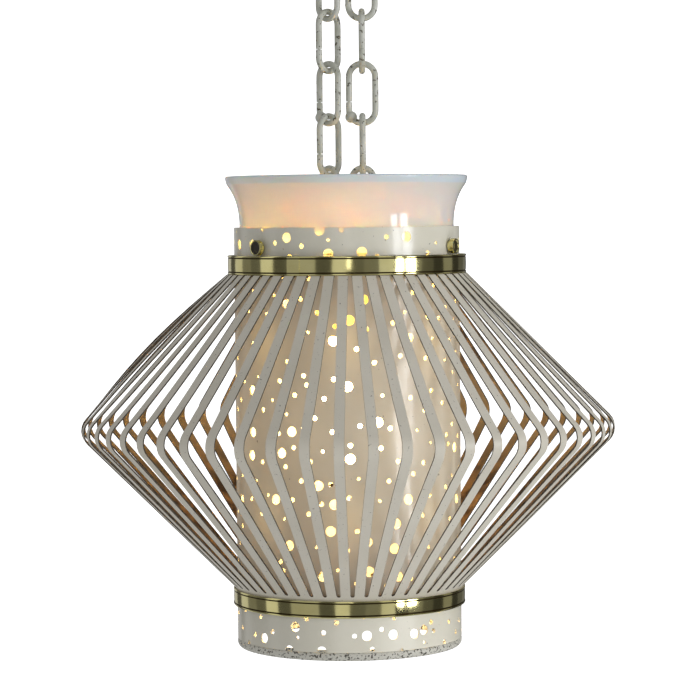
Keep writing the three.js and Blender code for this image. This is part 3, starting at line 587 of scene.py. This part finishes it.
def rounded(corners, radii, steps):
    """A line through the corners, each inner one rounded to its radius"""
    path = [Vector(corners[0])]
    for before, corner, after, radius in zip(corners, corners[1:], corners[2:], radii):
        a = (Vector(before) - Vector(corner)).normalized()
        b = (Vector(after) - Vector(corner)).normalized()
        half = a.angle(b) / 2
        centre = Vector(corner) + (a + b).normalized() * radius / math.sin(half)
        start = Vector(corner) + a * radius / math.tan(half) - centre
        end = Vector(corner) + b * radius / math.tan(half) - centre
        for step in range(steps + 1):
            path.append(centre + radius * start.normalized().slerp(end.normalized(), step / steps))
    path.append(Vector(corners[-1]))
    return path


def gap_at(radius):
    return (math.tau * radius / STRIPS - STRIP_WIDTH) / 2


half_gap = gap_at(upper_radius)
waist_line = waist_radius - SHEET / 2
knee = Vector((reach("upper_band")[1] + 0.15 * MM, under_band))
root = Vector((lower_radius, lower_band_top + 0.5 * MM))
slope_up = Vector((waist_line, waist_height)) - knee
slope_down = Vector((waist_line, waist_height)) - root
BEND, KNEE_BEND = 10.5 * MM, 0.8 * MM
BEND_STEPS = 6
LONGEST_SPAN = 16 * MM
half_angle = (math.pi - math.atan2(-slope_up.y, slope_up.x) - math.atan2(slope_down.y, slope_down.x)) / 2
apex = Vector((waist_line + (BEND - SHEET / 2) * (1 / math.cos(half_angle) - 1), waist_height))
up_slope = (apex - root).normalized()
slit_spot = root + up_slope * ((slit_foot - root.y) / up_slope.y)
lower_gap = gap_at(slit_spot.x)
corners = [(upper_radius, slit_top - half_gap), (upper_radius, under_band), knee, apex,
           slit_spot + up_slope * lower_gap]
bent = rounded(corners, [KNEE_BEND, KNEE_BEND, BEND], BEND_STEPS)
# Points along the straight spans let the strips bow and drift
path = bent[:1]
for a, b in zip(bent, bent[1:]):
    spans = max(1, math.ceil((b - a).length / LONGEST_SPAN))
    path += [a.lerp(b, span / spans) for span in range(1, spans + 1)]
print("path points", len(path), "gaps", round(half_gap / MM, 2), round(lower_gap / MM, 2), "mm")

# %% The sector's grid, laid along the path


def across_points(gap):
    outer = [half_strip + gap * share for share in (0, 0.3, 0.65, 1)]
    return [-c for c in reversed(outer)] + [0] + outer


def on_ring(radius, across, height):
    return Vector((radius * math.sin(across / radius), -radius * math.cos(across / radius), height))


def slit_end(spot, gap, way):
    """The row in which each slit ends in a half circle; way points along the sheet into the slit"""
    row = []
    for across in across_points(gap):
        into = min(1.0, max(0.0, abs(across) - half_strip) / gap)
        edge = spot + way * gap * (1 - math.sqrt(1 - (1 - into) ** 2))
        row.append(on_ring(edge.x, across, edge.y))
    return row


half_strip = STRIP_WIDTH / 2
rows = [[on_ring(upper_radius, c, cage_top) for c in across_points(half_gap)]]
rows.append(slit_end(Vector((upper_radius, slit_top)), half_gap, Vector((0, -1))))
within_strip = [max(-half_strip, min(half_strip, c)) for c in across_points(half_gap)]
for point in path[1:-1]:
    rows.append([Vector((across, -point.x, point.y)) for across in within_strip])
rows.append(slit_end(slit_spot, lower_gap, up_slope))
for point in rounded([root + up_slope * 2 * MM, root, (lower_radius, root.y - 2 * MM)], [0.8 * MM], 4):
    rows.append([on_ring(point.x, c, point.y) for c in across_points(gap_at(point.x))])
rows.append([on_ring(lower_radius, c, cage_foot) for c in across_points(gap_at(lower_radius))])

start_clean()
bpy.ops.mesh.primitive_grid_add(x_subdivisions=8, y_subdivisions=len(rows) - 1, size=1)
cage = place_in_mesh("bent_strip_cage")
grid_points = sorted(cage.data.vertices, key=lambda v: (-round(v.co.y, 4), v.co.x))
for vertex, spot in zip(grid_points, [spot for row in rows for spot in row]):
    vertex.co = spot
corner_at = [(round(v.co.x, 7), round(v.co.z, 7)) for v in cage.data.vertices]
over_slit = [f.index for f in cage.data.polygons if len({corner_at[v] for v in f.vertices}) < 4]
pick(cage, "FACE", lambda f: f.index in over_slit)
bpy.ops.mesh.delete(type="FACE")
bpy.ops.object.mode_set(mode="OBJECT")
print("sector rows", len(rows), "faces", len(cage.data.polygons))

# %% Spin the sector round, close the rings and give the sheet its thickness
cage.data.transform(Matrix.Rotation(math.radians(FIRST_STRIP), 4, "Z"))
only(cage)
bpy.ops.object.mode_set(mode="EDIT")
bpy.ops.mesh.select_all(action="SELECT")
bpy.ops.mesh.spin(steps=STRIPS - 1, dupli=True, angle=math.tau * (STRIPS - 1) / STRIPS,
                  center=(0, 0, 0), axis=(0, 0, 1))
clean_mesh(cage)
outer_face = max(cage.data.polygons, key=lambda f: math.hypot(f.center.x, f.center.y))
if outer_face.normal.dot(Vector((outer_face.center.x, outer_face.center.y, 0))) < 0:
    pick(cage, "FACE", lambda f: True)
    bpy.ops.mesh.flip_normals()
    bpy.ops.object.mode_set(mode="OBJECT")
print("cage faces before its thickness", len(cage.data.polygons))

# %% [markdown]
# The strips were bent by hand, so no two meet the waist quite alike. Each drifts sideways by up to
# nine tenths of a degree, which fades out towards the rings, where all the strips are one sheet. A few
# at the left edge also bow out above the waist.

# %% Let the strips drift
LEFT_BOW = 6 * MM
MOST_DRIFT = 0.9
BOWED_STRIP, BOWED_BESIDE = -14, 3.5
for vertex in cage.data.vertices:
    spread = math.hypot(vertex.co.x, vertex.co.y)
    share = max(0.0, (spread - upper_radius - 2 * MM) / (waist_radius - upper_radius))
    azimuth = math.degrees(math.atan2(vertex.co.x, -vertex.co.y))
    number = round((azimuth - FIRST_STRIP) / pitch)
    drift = MOST_DRIFT * math.sin(number * 12.9898)
    turn = math.radians(drift * share**1.3)
    bowed = max(0.0, 1 - abs(number - BOWED_STRIP) / BOWED_BESIDE) if vertex.co.z >= waist_height else 0
    bow = LEFT_BOW * bowed * math.sin(math.pi * min(1.0, share * 1.1))
    x, y = vertex.co.x * (1 + bow / spread), vertex.co.y * (1 + bow / spread)
    vertex.co.x = x * math.cos(turn) - y * math.sin(turn)
    vertex.co.y = x * math.sin(turn) + y * math.cos(turn)

# The strips' cut edges get a dark finish, painted shade, so they show as thin dark lines
rim_shade = enamel("painted_shade_on_strip_rims", "#6E675A", "#453F34", "#2E2920", 0.55, 2.0, rough=0.6)
for material in (strip_enamel, patina_and_painted_highlight, rim_shade):
    cage.data.materials.append(material)
apply_modifier(cage, "SOLIDIFY", thickness=SHEET, offset=0, use_even_offset=True, material_offset=1,
               material_offset_rim=2)
break_edges(cage, 0.12 * MM, over=60)
settle(cage, "fixture", "painted_sheet", [], "cage", smooth=30)

# %% [markdown]
# ## The brass bands
# Each band is a strip of polished brass rolled round the cage's ring, with a rolled bead along both
# edges and a groove beside each bead. Its ends lap under each other at one place. The outline is spun
# and the lap is extruded outwards a little.

# %% Upper and lower band
LAP_WIDTH = 6.5


def band(name, node, lap_azimuth):
    foot, top = heights(node)
    inner, outer = reach(node)
    edge = 0.55 * MM
    groove = 0.35 * MM
    lap_rise = 0.25 * MM
    face = outer - lap_rise
    half = [(inner, top - edge), (inner + 0.2 * MM, top - 0.1 * MM), (inner + 0.5 * MM, top),
            (face, top - 0.05 * MM), (outer, top - edge), (outer, top - 2 * edge),
            (face - groove, top - 2.9 * edge), (face, top - 3.7 * edge)]
    middle = (top + foot) / 2
    outline = half + [(face + 0.12 * MM, middle)] + [(r, 2 * middle - z) for r, z in reversed(half)]
    made = spun(name, outline, DRUM_SIDES)
    lap = math.radians(lap_azimuth)

    def in_lap(f):
        centre = f.calc_center_median()
        turn = math.atan2(centre.x, -centre.y)
        return 0 < turn - lap < math.radians(LAP_WIDTH) and math.hypot(centre.x, centre.y) > face - 2 * groove

    pick(made, "FACE", in_lap)
    bpy.ops.mesh.extrude_region_shrink_fatten(TRANSFORM_OT_shrink_fatten={"value": lap_rise})
    bpy.ops.object.mode_set(mode="OBJECT")
    for material in (brass, groove_shade):
        made.data.materials.append(material)
    # Faces in the grooves take the dark brass, painted shade where the band is recessed
    for side in made.data.polygons:
        from_edge = (top - foot) / 2 - abs(side.center.z - middle)
        outside = math.hypot(side.center.x, side.center.y) > inner + 0.2 * MM
        if outside and 2.1 * edge < from_edge < 3.6 * edge:
            side.material_index = 1
    settle(made, "fixture", "polished_brass", [], node)


band("upper_brass_band", "upper_band", -29.5)
band("lower_brass_band", "lower_band", 151)

# %% [markdown]
# ## The opal collar
# A blown glass collar: a short lip, a flare and a straight neck, 3 mm thick, with a fire-polished rim.
# The outer and inner lines are joined by a rounded rim and foot, and the whole outline is spun.

# %% Opal collar
neck_foot = heights("collar")[0]
neck_inner, mouth = reach("collar")
WALL = 3 * MM
neck = neck_inner + WALL


def collar_line(inset):
    lip = mouth - 1.2 * MM - inset
    foot = neck - inset
    lip_z = rim - 5.3 * MM
    flare = bezier((lip, lip_z), ((lip + foot) / 2, lip_z - 5.5 * MM), (foot, lip_z - 13.8 * MM),
                   (foot, lip_z - 27.7 * MM), 14)
    return [(mouth - inset - 0.1 * MM, rim - 1.4 * MM), (lip + 0.25 * MM, lip_z + 0.8 * MM)] + flare


outside = collar_line(0)
inside = collar_line(WALL)
rounded_rim = [(mouth - WALL + 0.2 * MM, rim - 0.5 * MM), (mouth - WALL + 1.0 * MM, rim),
               (mouth - 1.0 * MM, rim), (mouth - 0.25 * MM, rim - 0.5 * MM)]
outline = rounded_rim + outside + [(neck, neck_foot + MM), (neck - 0.8 * MM, neck_foot),
                                   (neck_inner + 0.8 * MM, neck_foot), (neck_inner, neck_foot + MM)]
outline += list(reversed(inside))
collar = spun("opal_collar", outline, 144)
apply_modifier(collar, "SUBSURF", levels=1, render_levels=1)
settle(collar, "collar", "opal_glass", [opal], "collar", smooth=60)

# %% [markdown]
# ## Chain links
# Each link is 4.2 mm wire bent into a long loop whose ends only butt together. A torus is cut in half,
# its open ends are extruded by half the straight length, and Mirror adds the other half. Two cuts beside
# the butt joint let a thin ring of faces sink in as the gap. One link is modelled and copied eight times.

# %% Model one link
link_low, link_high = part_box("link_right_1")
WIRE = 4.2 * MM
link_height = link_high.z - link_low.z
bend_radius = (link_high.x - link_low.x - WIRE) / 2
straight = link_height - WIRE - 2 * bend_radius
start_clean()
bpy.ops.mesh.primitive_torus_add(major_segments=40, minor_segments=16, major_radius=bend_radius,
                                 minor_radius=WIRE / 2, rotation=(math.pi / 2, 0, 0))
link = place_in_mesh("link")
pick(link, "FACE", lambda f: True)
bpy.ops.mesh.bisect(plane_co=(0, 0, 0), plane_no=(0, 0, 1), clear_inner=True)
bpy.ops.object.mode_set(mode="OBJECT")
link.data.transform(Matrix.Translation((0, 0, straight / 2)))
pick(link, "EDGE", lambda e: e.is_boundary)
bpy.ops.mesh.extrude_edges_move(TRANSFORM_OT_translate={"value": (0, 0, -straight / 2)})
bpy.ops.object.mode_set(mode="OBJECT")
apply_modifier(link, "MIRROR", use_axis=(False, False, True), merge_threshold=0.01 * MM)
for cut in (-0.27, 0.27):
    pick(link, "FACE", lambda f: True)
    bpy.ops.mesh.bisect(plane_co=(0, 0, -straight / 4 + cut * MM), plane_no=(0, 0, 1))
bpy.ops.object.mode_set(mode="OBJECT")


def in_the_gap(f):
    centre = f.calc_center_median()
    return centre.x < 0 and abs(centre.z + straight / 4) < 0.2 * MM


pick(link, "FACE", in_the_gap)
bpy.ops.mesh.extrude_region_shrink_fatten(TRANSFORM_OT_shrink_fatten={"value": -1.1 * MM})
bpy.ops.object.mode_set(mode="OBJECT")
clean_mesh(link)
print("link", round(link_height / MM, 2), "mm high, faces", len(link.data.polygons))

# %% A lump of weld and paint for the third links
start_clean()
bpy.ops.mesh.primitive_uv_sphere_add(segments=28, ring_count=14, radius=3.9 * MM,
                                     location=(-7.4 * MM, 0, -link_height / 2 + 6.2 * MM))
lump = place_in_mesh("lump")
welded = copy_of(link, "welded_link")
combine(welded, lump, "UNION")

# %% Copy it into both strands
LEFT_TWIST = -45
for side, twist in (("left", LEFT_TWIST), ("right", 0)):
    for number in (1, 2, 3, 4):
        node = f"link_{side}_{number}"
        low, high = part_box(node)
        made = copy_of(welded if number == 3 else link, f"chain_{side}_{number}")
        made.data.transform(Matrix.Rotation(math.radians(twist + 90 * ((number - 1) % 2)), 4, "Z"))
        made.data.transform(Matrix.Translation((low + high) / 2))
        settle(made, f"{side}_link_{number}", "chain_paint", [chain_paint], node, smooth=60)
bpy.data.objects.remove(link)
bpy.data.objects.remove(welded)

# %% [markdown]
# ## Eye bolts
# A closed ring of the same wire on a plain shank with a shoulder. The ring is a torus, the shank a
# cylinder with a shoulder extruded out of it, and a Boolean joins the two. The frame's ring is a polygon
# and its box ends at a flat side, a little inside the round ring's reach.

# %% Model the eye bolts
HALF_A_FLAT = math.pi / 14


def eye_bolt(name, node, body, plane, way):
    low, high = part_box(node)
    centre = (low + high) / 2
    ring = 7.1 * MM
    reach_out = ring + WIRE / 2
    flat_of_the_box = reach_out * (1 - math.cos(HALF_A_FLAT))
    ring_z = (low.z if way > 0 else high.z) + way * (reach_out - flat_of_the_box)
    start_clean()
    bpy.ops.mesh.primitive_torus_add(major_segments=36, minor_segments=16, major_radius=ring,
                                     minor_radius=WIRE / 2, rotation=(math.pi / 2, 0, math.radians(plane)))
    eye = place_in_mesh(name)
    eye.data.transform(Matrix.Translation((centre.x, 0, ring_z)))
    tip = high.z if way > 0 else low.z
    base = ring_z + way * ring
    shank = cylinder("shank", 2.5 * MM, abs(tip - base), (centre.x, 0, (tip + base) / 2))
    shoulder = ring_z + way * (reach_out + 2.75 * MM)
    bpy.ops.object.mode_set(mode="EDIT")
    for level in (shoulder, shoulder + way * 1.5 * MM):
        bpy.ops.mesh.select_all(action="SELECT")
        bpy.ops.mesh.bisect(plane_co=(0, 0, level), plane_no=(0, 0, 1))
    bpy.ops.object.mode_set(mode="OBJECT")
    middle = shoulder + way * 0.75 * MM
    pick(shank, "FACE",
         lambda f: abs(f.calc_center_median().z - middle) < 0.1 * MM and abs(f.normal.z) < 0.5)
    bpy.ops.mesh.extrude_region_shrink_fatten(TRANSFORM_OT_shrink_fatten={"value": 1.0 * MM})
    bpy.ops.object.mode_set(mode="OBJECT")
    combine(eye, shank, "UNION")
    break_edges(eye, 0.15 * MM, segments=2)
    settle(eye, body, "chain_paint", [chain_paint], node, smooth=50)


eye_bolt("eye_bolt_top_left", "top_eye_left", "ceiling_fitting", LEFT_TWIST + 90, 1)
eye_bolt("eye_bolt_top_right", "top_eye_right", "ceiling_fitting", 90, 1)
eye_bolt("eye_bolt_bottom_left", "bottom_eye_left", "fixture", LEFT_TWIST, -1)
eye_bolt("eye_bolt_bottom_right", "bottom_eye_right", "fixture", 0, -1)

# %% [markdown]
# ## Thumb screws
# A knurled brass head on a plain shank. The head is a short cylinder: its face is inset and sunk
# into a dish, every other side face is pushed in as the knurl, and the shank is extruded from its back.

# %% A dish of painted shade, and one thumb screw to copy
dish_shade = enamel("painted_shade_in_the_dish", "#3A3222", "#221C13", "#7D6C3A", 0.62, 1.2, rough=0.5)
KNURLS = 17
SCREW_AZIMUTHS = (-47.5, 63, 187.75)
thumb_z = sum(heights("thumb_screw_1")) / 2
HEAD = 5 * MM
HEAD_THICK = 3 * MM
head_back = reach("thumb_boss_1")[1] + 0.2 * MM
tip = reach("thumb_screw_1")[0]
screw = cylinder("thumb_screw", HEAD, HEAD_THICK, (0, 0, head_back + HEAD_THICK / 2), 2 * KNURLS)
pick(screw, "FACE", lambda f: f.normal.z > 0.9)
bpy.ops.mesh.inset(thickness=0.8 * MM, depth=0)
bpy.ops.mesh.inset(thickness=0.4 * MM, depth=-0.7 * MM)
bpy.ops.mesh.inset(thickness=1.2 * MM, depth=0.2 * MM)
bpy.ops.object.mode_set(mode="OBJECT")
for material in (brass, dish_shade):
    screw.data.materials.append(material)
# The dish takes a near-black finish: a painted dark reflection, painted shade in the face
for face in screw.data.polygons:
    if face.normal.z > 0.3 and math.hypot(face.center.x, face.center.y) < HEAD - 0.9 * MM:
        face.material_index = 1
pick(screw, "FACE", lambda f: f.normal.z < -0.9)
bpy.ops.mesh.inset(thickness=HEAD - 2 * MM)
bpy.ops.mesh.extrude_region_move(TRANSFORM_OT_translate={"value": (0, 0, tip - head_back)})
bpy.ops.object.mode_set(mode="OBJECT")


def in_groove(f):
    centre = f.calc_center_median()
    if abs(f.normal.z) > 0.3 or math.hypot(centre.x, centre.y) < 0.9 * HEAD:
        return False
    step = math.atan2(centre.y, centre.x) / (math.pi / KNURLS)
    return math.floor(step) % 2 == 0


pick(screw, "FACE", in_groove)
bpy.ops.mesh.inset(thickness=0.1 * MM, use_individual=True)
bpy.ops.mesh.extrude_region_shrink_fatten(TRANSFORM_OT_shrink_fatten={"value": -0.55 * MM})
bpy.ops.object.mode_set(mode="OBJECT")
break_edges(screw, 0.1 * MM)
screw.data.transform(Matrix.Rotation(math.pi / 2, 4, "X"))
for number, azimuth in enumerate(SCREW_AZIMUTHS, 1):
    made = copy_of(screw, f"knurled_screw_{number}")
    # Only the first screw keeps the painted shade in its dish; the others are plain brass
    if number > 1:
        for face in made.data.polygons:
            face.material_index = 0
    made.data.transform(Matrix.Translation((0, 0, thumb_z)))
    made.data.transform(Matrix.Rotation(math.radians(azimuth), 4, "Z"))
    settle(made, f"thumb_screw_{number}", "polished_brass", [], f"thumb_screw_{number}", smooth=40)
bpy.data.objects.remove(screw)

# %% [markdown]
# ## The bulb
# A common frosted bulb: the envelope is spun from a neck, a shoulder and a round end, and the cap is
# spun with its thread as a few rounded rings.

# %% Bulb glass and cap
glass_foot, glass_top = heights("bulb_glass")
belly = reach("bulb_glass")[1]
neck_r = 12.2 * MM
belly_z = glass_foot + belly
shoulder_z = glass_top - 18 * MM
wall = 0.9 * MM
END_STEPS = 12


def bulb_line(inset):
    line = [(neck_r - inset, glass_top)]
    line += bezier((neck_r - inset, shoulder_z), (neck_r - inset, (2 * shoulder_z + belly_z) / 3),
                   (belly - inset, (shoulder_z + 2 * belly_z) / 3), (belly - inset, belly_z), 14)
    for step in range(1, END_STEPS + 1):
        angle = step / END_STEPS * math.pi / 2
        out = (belly - inset) * math.cos(angle) if step < END_STEPS else 0
        line.append((out, belly_z - (belly - inset) * math.sin(angle)))
    return line


bulb = spun("frosted_bulb", list(reversed(bulb_line(0))) + bulb_line(wall), 64, closed=False)
settle(bulb, "bulb", "bulb_glass", [lit_glass], "bulb_glass", smooth=60)

cap_foot, cap_top = heights("bulb_cap")
cap_outer = reach("bulb_cap")[1]
TURNS, TURN_PITCH = 6, 2.6 * MM
THREAD_FOOT = cap_foot + 3 * MM
ONE_TURN = ((1.1, 0), (0.3, 0.6), (0, 1.2), (0.3, 1.9))
thread = [(cap_outer - deep * MM, THREAD_FOOT + turn * TURN_PITCH + up * MM)
          for turn in range(TURNS) for deep, up in ONE_TURN]
top_slope = cap_outer - 8.3 * MM
outline = [(cap_outer - 0.4 * MM, cap_foot), (cap_outer - 0.4 * MM, cap_foot + 2 * MM)] + thread
outline += [(cap_outer - 0.8 * MM, cap_top - top_slope), (8.3 * MM, cap_top), (8.3 * MM, cap_top - 0.5 * MM),
            (cap_outer - 1.6 * MM, cap_top - top_slope - 0.6 * MM), (cap_outer - 1.6 * MM, cap_foot)]
cap = spun("screw_cap", outline, 48)
settle(cap, "bulb", "bulb_metal", [cap_metal], "bulb_cap", smooth=60)

# %% [markdown]
# ## The canopy
# A shallow spun dish that hides the strap and the wires, with two holes for the eye bolts.

# %% Canopy
canopy_foot, canopy_top = heights("canopy")
canopy_edge = reach("canopy")[1]
SHELL = 1.2 * MM
EYE_ASIDE = 11 * MM
EYE_HOLE = 2.8 * MM


def canopy_line(inset):
    floor = canopy_foot + inset
    edge = canopy_edge - inset
    curve = bezier((22 * MM, floor), ((22 * MM + edge) / 2, floor), (edge, floor / 2), (edge, canopy_top), 16)
    return [(0, floor), (EYE_ASIDE, floor)] + curve


outline = canopy_line(0) + [(canopy_edge - 0.4 * MM, canopy_top + 0.2 * MM)]
outline += reversed(canopy_line(SHELL))
canopy = spun("ceiling_canopy", outline, 96, closed=False)
drills = [cylinder("drill", EYE_HOLE, 12 * MM, (x, 0, canopy_foot)) for x in (EYE_ASIDE, -EYE_ASIDE)]
combine(canopy, joined(drills, "drill"), "DIFFERENCE")
settle(canopy, "ceiling_fitting", "painted_sheet", [drum_enamel], "canopy", smooth=30)

# %% [markdown]
# ## The pieces that keep their CAD shape
# The ceiling strap, the hanger bar and its tube, the spider, nuts, spacers, rivets, bosses, the lamp
# holder and the bulb's inner pieces are right as they are. They only get a finish.

# %% Finishes on the other nodes
FINISH_OF_SLOT = {
    "painted_sheet": drum_enamel, "chain_paint": chain_paint, "polished_brass": brass,
    "plated_steel": plated, "opal_glass": opal, "porcelain": porcelain, "black_plastic": black_plastic,
    "bulb_glass": lit_glass, "stem_glass": clear_glass, "bulb_metal": cap_metal, "tungsten": tungsten,
}
slot_of = {p["node"]: p["material_slot"] for p in frame["record"]["subparts"]}
for name, node_object in frame["nodes"].items():
    node_object.data.materials.clear()
    node_object.data.materials.append(FINISH_OF_SLOT[slot_of[name]])
shown = sorted(name for name, o in frame["nodes"].items() if not o.hide_render)
print("nodes that stay:", len(shown))

# %% [markdown]
# ## The studio
# A pale floor sweeps up into pale walls all round, so the lamp stands against white from every side.
# Only the camera sees it. The light comes from two tall window panes at the right, a small one in front,
# a soft grey sky, a table below, and the bulb, whose light also spills between the drum and the cage.

# %% Helpers for lights
LAMP_MIDDLE = Vector((0, 0, -0.32))


def unseen_by(piece, *rays):
    for ray in rays:
        setattr(piece, f"visible_{ray}", False)


def new_light(name, kind, power, colour):
    data = bpy.data.lights.new(name, kind)
    data.energy = power
    data.color = colour
    light = bpy.data.objects.new(name, data)
    bpy.context.scene.collection.objects.link(light)
    light.visible_camera = False
    return light


def area_light(name, azimuth, distance, height, width, tall, power, colour):
    light = new_light(name, "AREA", power, colour)
    light.data.shape = "RECTANGLE"
    light.data.size, light.data.size_y = width, tall
    spot = on_drum(azimuth, height, distance)
    aim = (LAMP_MIDDLE - spot).to_track_quat("-Z", "Y").to_matrix().to_4x4()
    light.matrix_world = Matrix.Translation(spot) @ aim
    return light


def glow(name, azimuth, radius, height, power, colour, soft):
    light = new_light(name, "POINT", power, colour)
    light.data.shadow_soft_size = soft
    light.location = on_drum(azimuth, height, radius)
    light.visible_glossy = False
    return light


def shine_only_on(light, *pieces):
    """Light linking, so that what lights the opal glass from inside doesn't reach the chains"""
    group = bpy.data.collections.new(light.name)
    for piece in pieces:
        group.objects.link(piece)
    light.light_linking.receiver_collection = group


# %% Floor, sky and windows
FLOOR = -2.4
WHITE = (1, 1, 1, 1)
DAYLIGHT = (0.97, 0.98, 1.0)
start_clean()
bpy.ops.mesh.primitive_uv_sphere_add(segments=48, ring_count=24, radius=12)
studio = place_in_mesh("studio_floor")
pick(studio, "VERT", lambda v: v.co.z < FLOOR)
bpy.ops.transform.resize(value=(1, 1, 0.0001), center_override=(0, 0, FLOOR))
bpy.ops.object.mode_set(mode="OBJECT")
white, shader, place = new_finish(
    "pale_floor", Base_Color=WHITE, Emission_Color=WHITE, Emission_Strength=1.0, Roughness=1.0
)
studio.data.materials.append(white)
unseen_by(studio, "diffuse", "glossy", "shadow", "volume_scatter")

world = bpy.data.worlds.new("soft_sky")
bpy.context.scene.world = world
world.use_nodes = True
sky = world.node_tree.nodes["Background"]
sky.inputs["Color"].default_value = (0.98, 0.99, 1.0, 1.0)
view = add_node(world, "ShaderNodeTexCoord").outputs["Generated"]
upward = add_node(world, "ShaderNodeSeparateXYZ", {"Vector": view}).outputs["Z"]
feed(world, remap(world, upward, From_Min=-0.7, From_Max=0.7, To_Min=0.49, To_Max=0.35), sky, "Strength")

for side, azimuth, wide, power in (("left", 51, 0.30, 10), ("right", 63, 0.42, 14)):
    area_light(f"window_pane_{side}", azimuth, 2.6, -0.31, wide, 0.9, power, DAYLIGHT)
area_light("small_window", 2, 3.0, 0.1, 0.2, 1.0, 1.2, (1.0, 0.98, 0.95))

# %% [markdown]
# The polished brass needs a room to mirror. A wall round the lamp shines in even bars, and only mirror
# reflections meet it. A sine makes the bars' levels uneven, and those at the right are darker.

# %% The room in the brass
BAR_COUNT = 24
BAR_STEP = 2.4
DARKEST, BRIGHTER_BY = 0.08, 0.6
RIGHT_OF, RIGHT_SHARE = 30, 0.35
ROOM_BARS = []
for bar in range(BAR_COUNT):
    azimuth = -180 + 360 * bar / BAR_COUNT
    level = DARKEST + BRIGHTER_BY * (0.5 + 0.5 * math.sin(bar * BAR_STEP)) ** 2
    ROOM_BARS.append((azimuth, level * (RIGHT_SHARE if azimuth > RIGHT_OF else 1)))
room = cylinder("room_in_the_brass", 3.4, 5, sides=96, end_fill_type="NOTHING")
bars, shader, place = new_finish("room_bars", Base_Color=(0, 0, 0, 1), Emission_Strength=1.0, Roughness=1.0)
axes = add_node(bars, "ShaderNodeSeparateXYZ", {"Vector": place})
front = add_node(bars, "ShaderNodeMath", {0: axes.outputs["Y"], 1: -1.0}, operation="MULTIPLY")
turn = add_node(bars, "ShaderNodeMath", {0: axes.outputs["X"], 1: front.outputs[0]}, operation="ARCTAN2")
share = remap(bars, turn.outputs[0], From_Min=-math.pi, From_Max=math.pi)
ramp = add_node(bars, "ShaderNodeValToRGB", {"Fac": share})
ramp.color_ramp.interpolation = "CONSTANT"
while len(ramp.color_ramp.elements) < len(ROOM_BARS):
    ramp.color_ramp.elements.new(0.5)
for element, (azimuth, level) in zip(ramp.color_ramp.elements, ROOM_BARS):
    element.position = (azimuth + 180) / 360
for element, (azimuth, level) in zip(ramp.color_ramp.elements, ROOM_BARS):
    element.color = (level, level, level, 1)
feed(bars, ramp.outputs["Color"], shader, "Emission Color")
room.data.materials.append(bars)
unseen_by(room, "camera", "diffuse", "shadow", "transmission", "volume_scatter")

# %% The bulb's light outside the drum and inside the collar
GLOWS = 8
WARM = (1.0, 0.68, 0.27)
IN_COLLAR = (1.0, 0.58, 0.05)
COLLAR_GLOWS = ((-88, 0.10), (-64, 0.12), (-40, 0.12), (-16, 0.12), (8, 0.10), (30, 0.04))
for step in range(GLOWS):
    azimuth = 360 * (step + 0.5) / GLOWS
    glow(f"spill_middle_{step}", azimuth, 112 * MM, waist_height, 0.0105, WARM, 14 * MM)
    glow(f"spill_high_{step}", azimuth + 22, 97 * MM, waist_height + 58 * MM, 0.008, WARM, 9 * MM)
    glow(f"spill_low_{step}", azimuth + 22, 97 * MM, waist_height - 54 * MM, 0.006, WARM, 9 * MM)
for step, (azimuth, power) in enumerate(COLLAR_GLOWS):
    inner = glow(f"inside_the_collar_{step}", azimuth, 38 * MM, rim - 25 * MM, power, IN_COLLAR, 14 * MM)
    shine_only_on(inner, collar)
table_light = area_light("light_off_the_table", 38, 0.7, -0.75, 0.25, 0.25, 0.85, DAYLIGHT)
shine_only_on(table_light, drum)

# The bulb's light climbs between the neck and the drum's wall, so the holes above the band glow yellow
between = (neck + drum_inner) / 2
ring_glow = cylinder("glow_at_the_neck", between, 13 * MM, (0, 0, neck_foot + 7.5 * MM), 96,
                     end_fill_type="NOTHING")
warm_ring, shader, place = new_finish(
    "glow_at_the_neck", Emission_Strength=1.2, Emission_Color=(1.0, 0.82, 0.25, 1.0)
)
ring_glow.data.materials.append(warm_ring)
unseen_by(ring_glow, "camera", "glossy", "shadow", "transmission")
shine_only_on(ring_glow, collar, drum)

# A disc that only bounced light meets keeps the glow of the drum's inside off the chains
start_clean()
bpy.ops.mesh.primitive_circle_add(vertices=48, radius=68 * MM, fill_type="NGON",
                                  location=(0, 0, neck_foot + 6 * MM))
shade = place_in_mesh("shade_in_the_neck")
dark, shader, place = new_finish("shade_in_the_neck", Base_Color=(0.3, 0.3, 0.3, 1), Roughness=1.0)
shade.data.materials.append(dark)
unseen_by(shade, "camera", "glossy", "shadow", "transmission")

# The chains hang clear of the bulb's light, and the lights inside the collar stand for it there
collar.visible_diffuse = False
in_shade = bpy.data.collections.new("not_lit_by_the_bulb")
for piece in bpy.data.objects:
    if piece.name.startswith(("chain_", "eye_bolt_")) or piece == collar:
        in_shade.objects.link(piece)
for linked in in_shade.collection_objects:
    linked.light_linking.link_state = "EXCLUDE"
for lamp in [bulb] + [o for o in bpy.data.objects if o.name.startswith("spill_")]:
    lamp.light_linking.receiver_collection = in_shade

# %% Colours as the lens sees them
bpy.context.scene.view_settings.view_transform = "Standard"
bpy.context.scene.view_settings.look = "None"
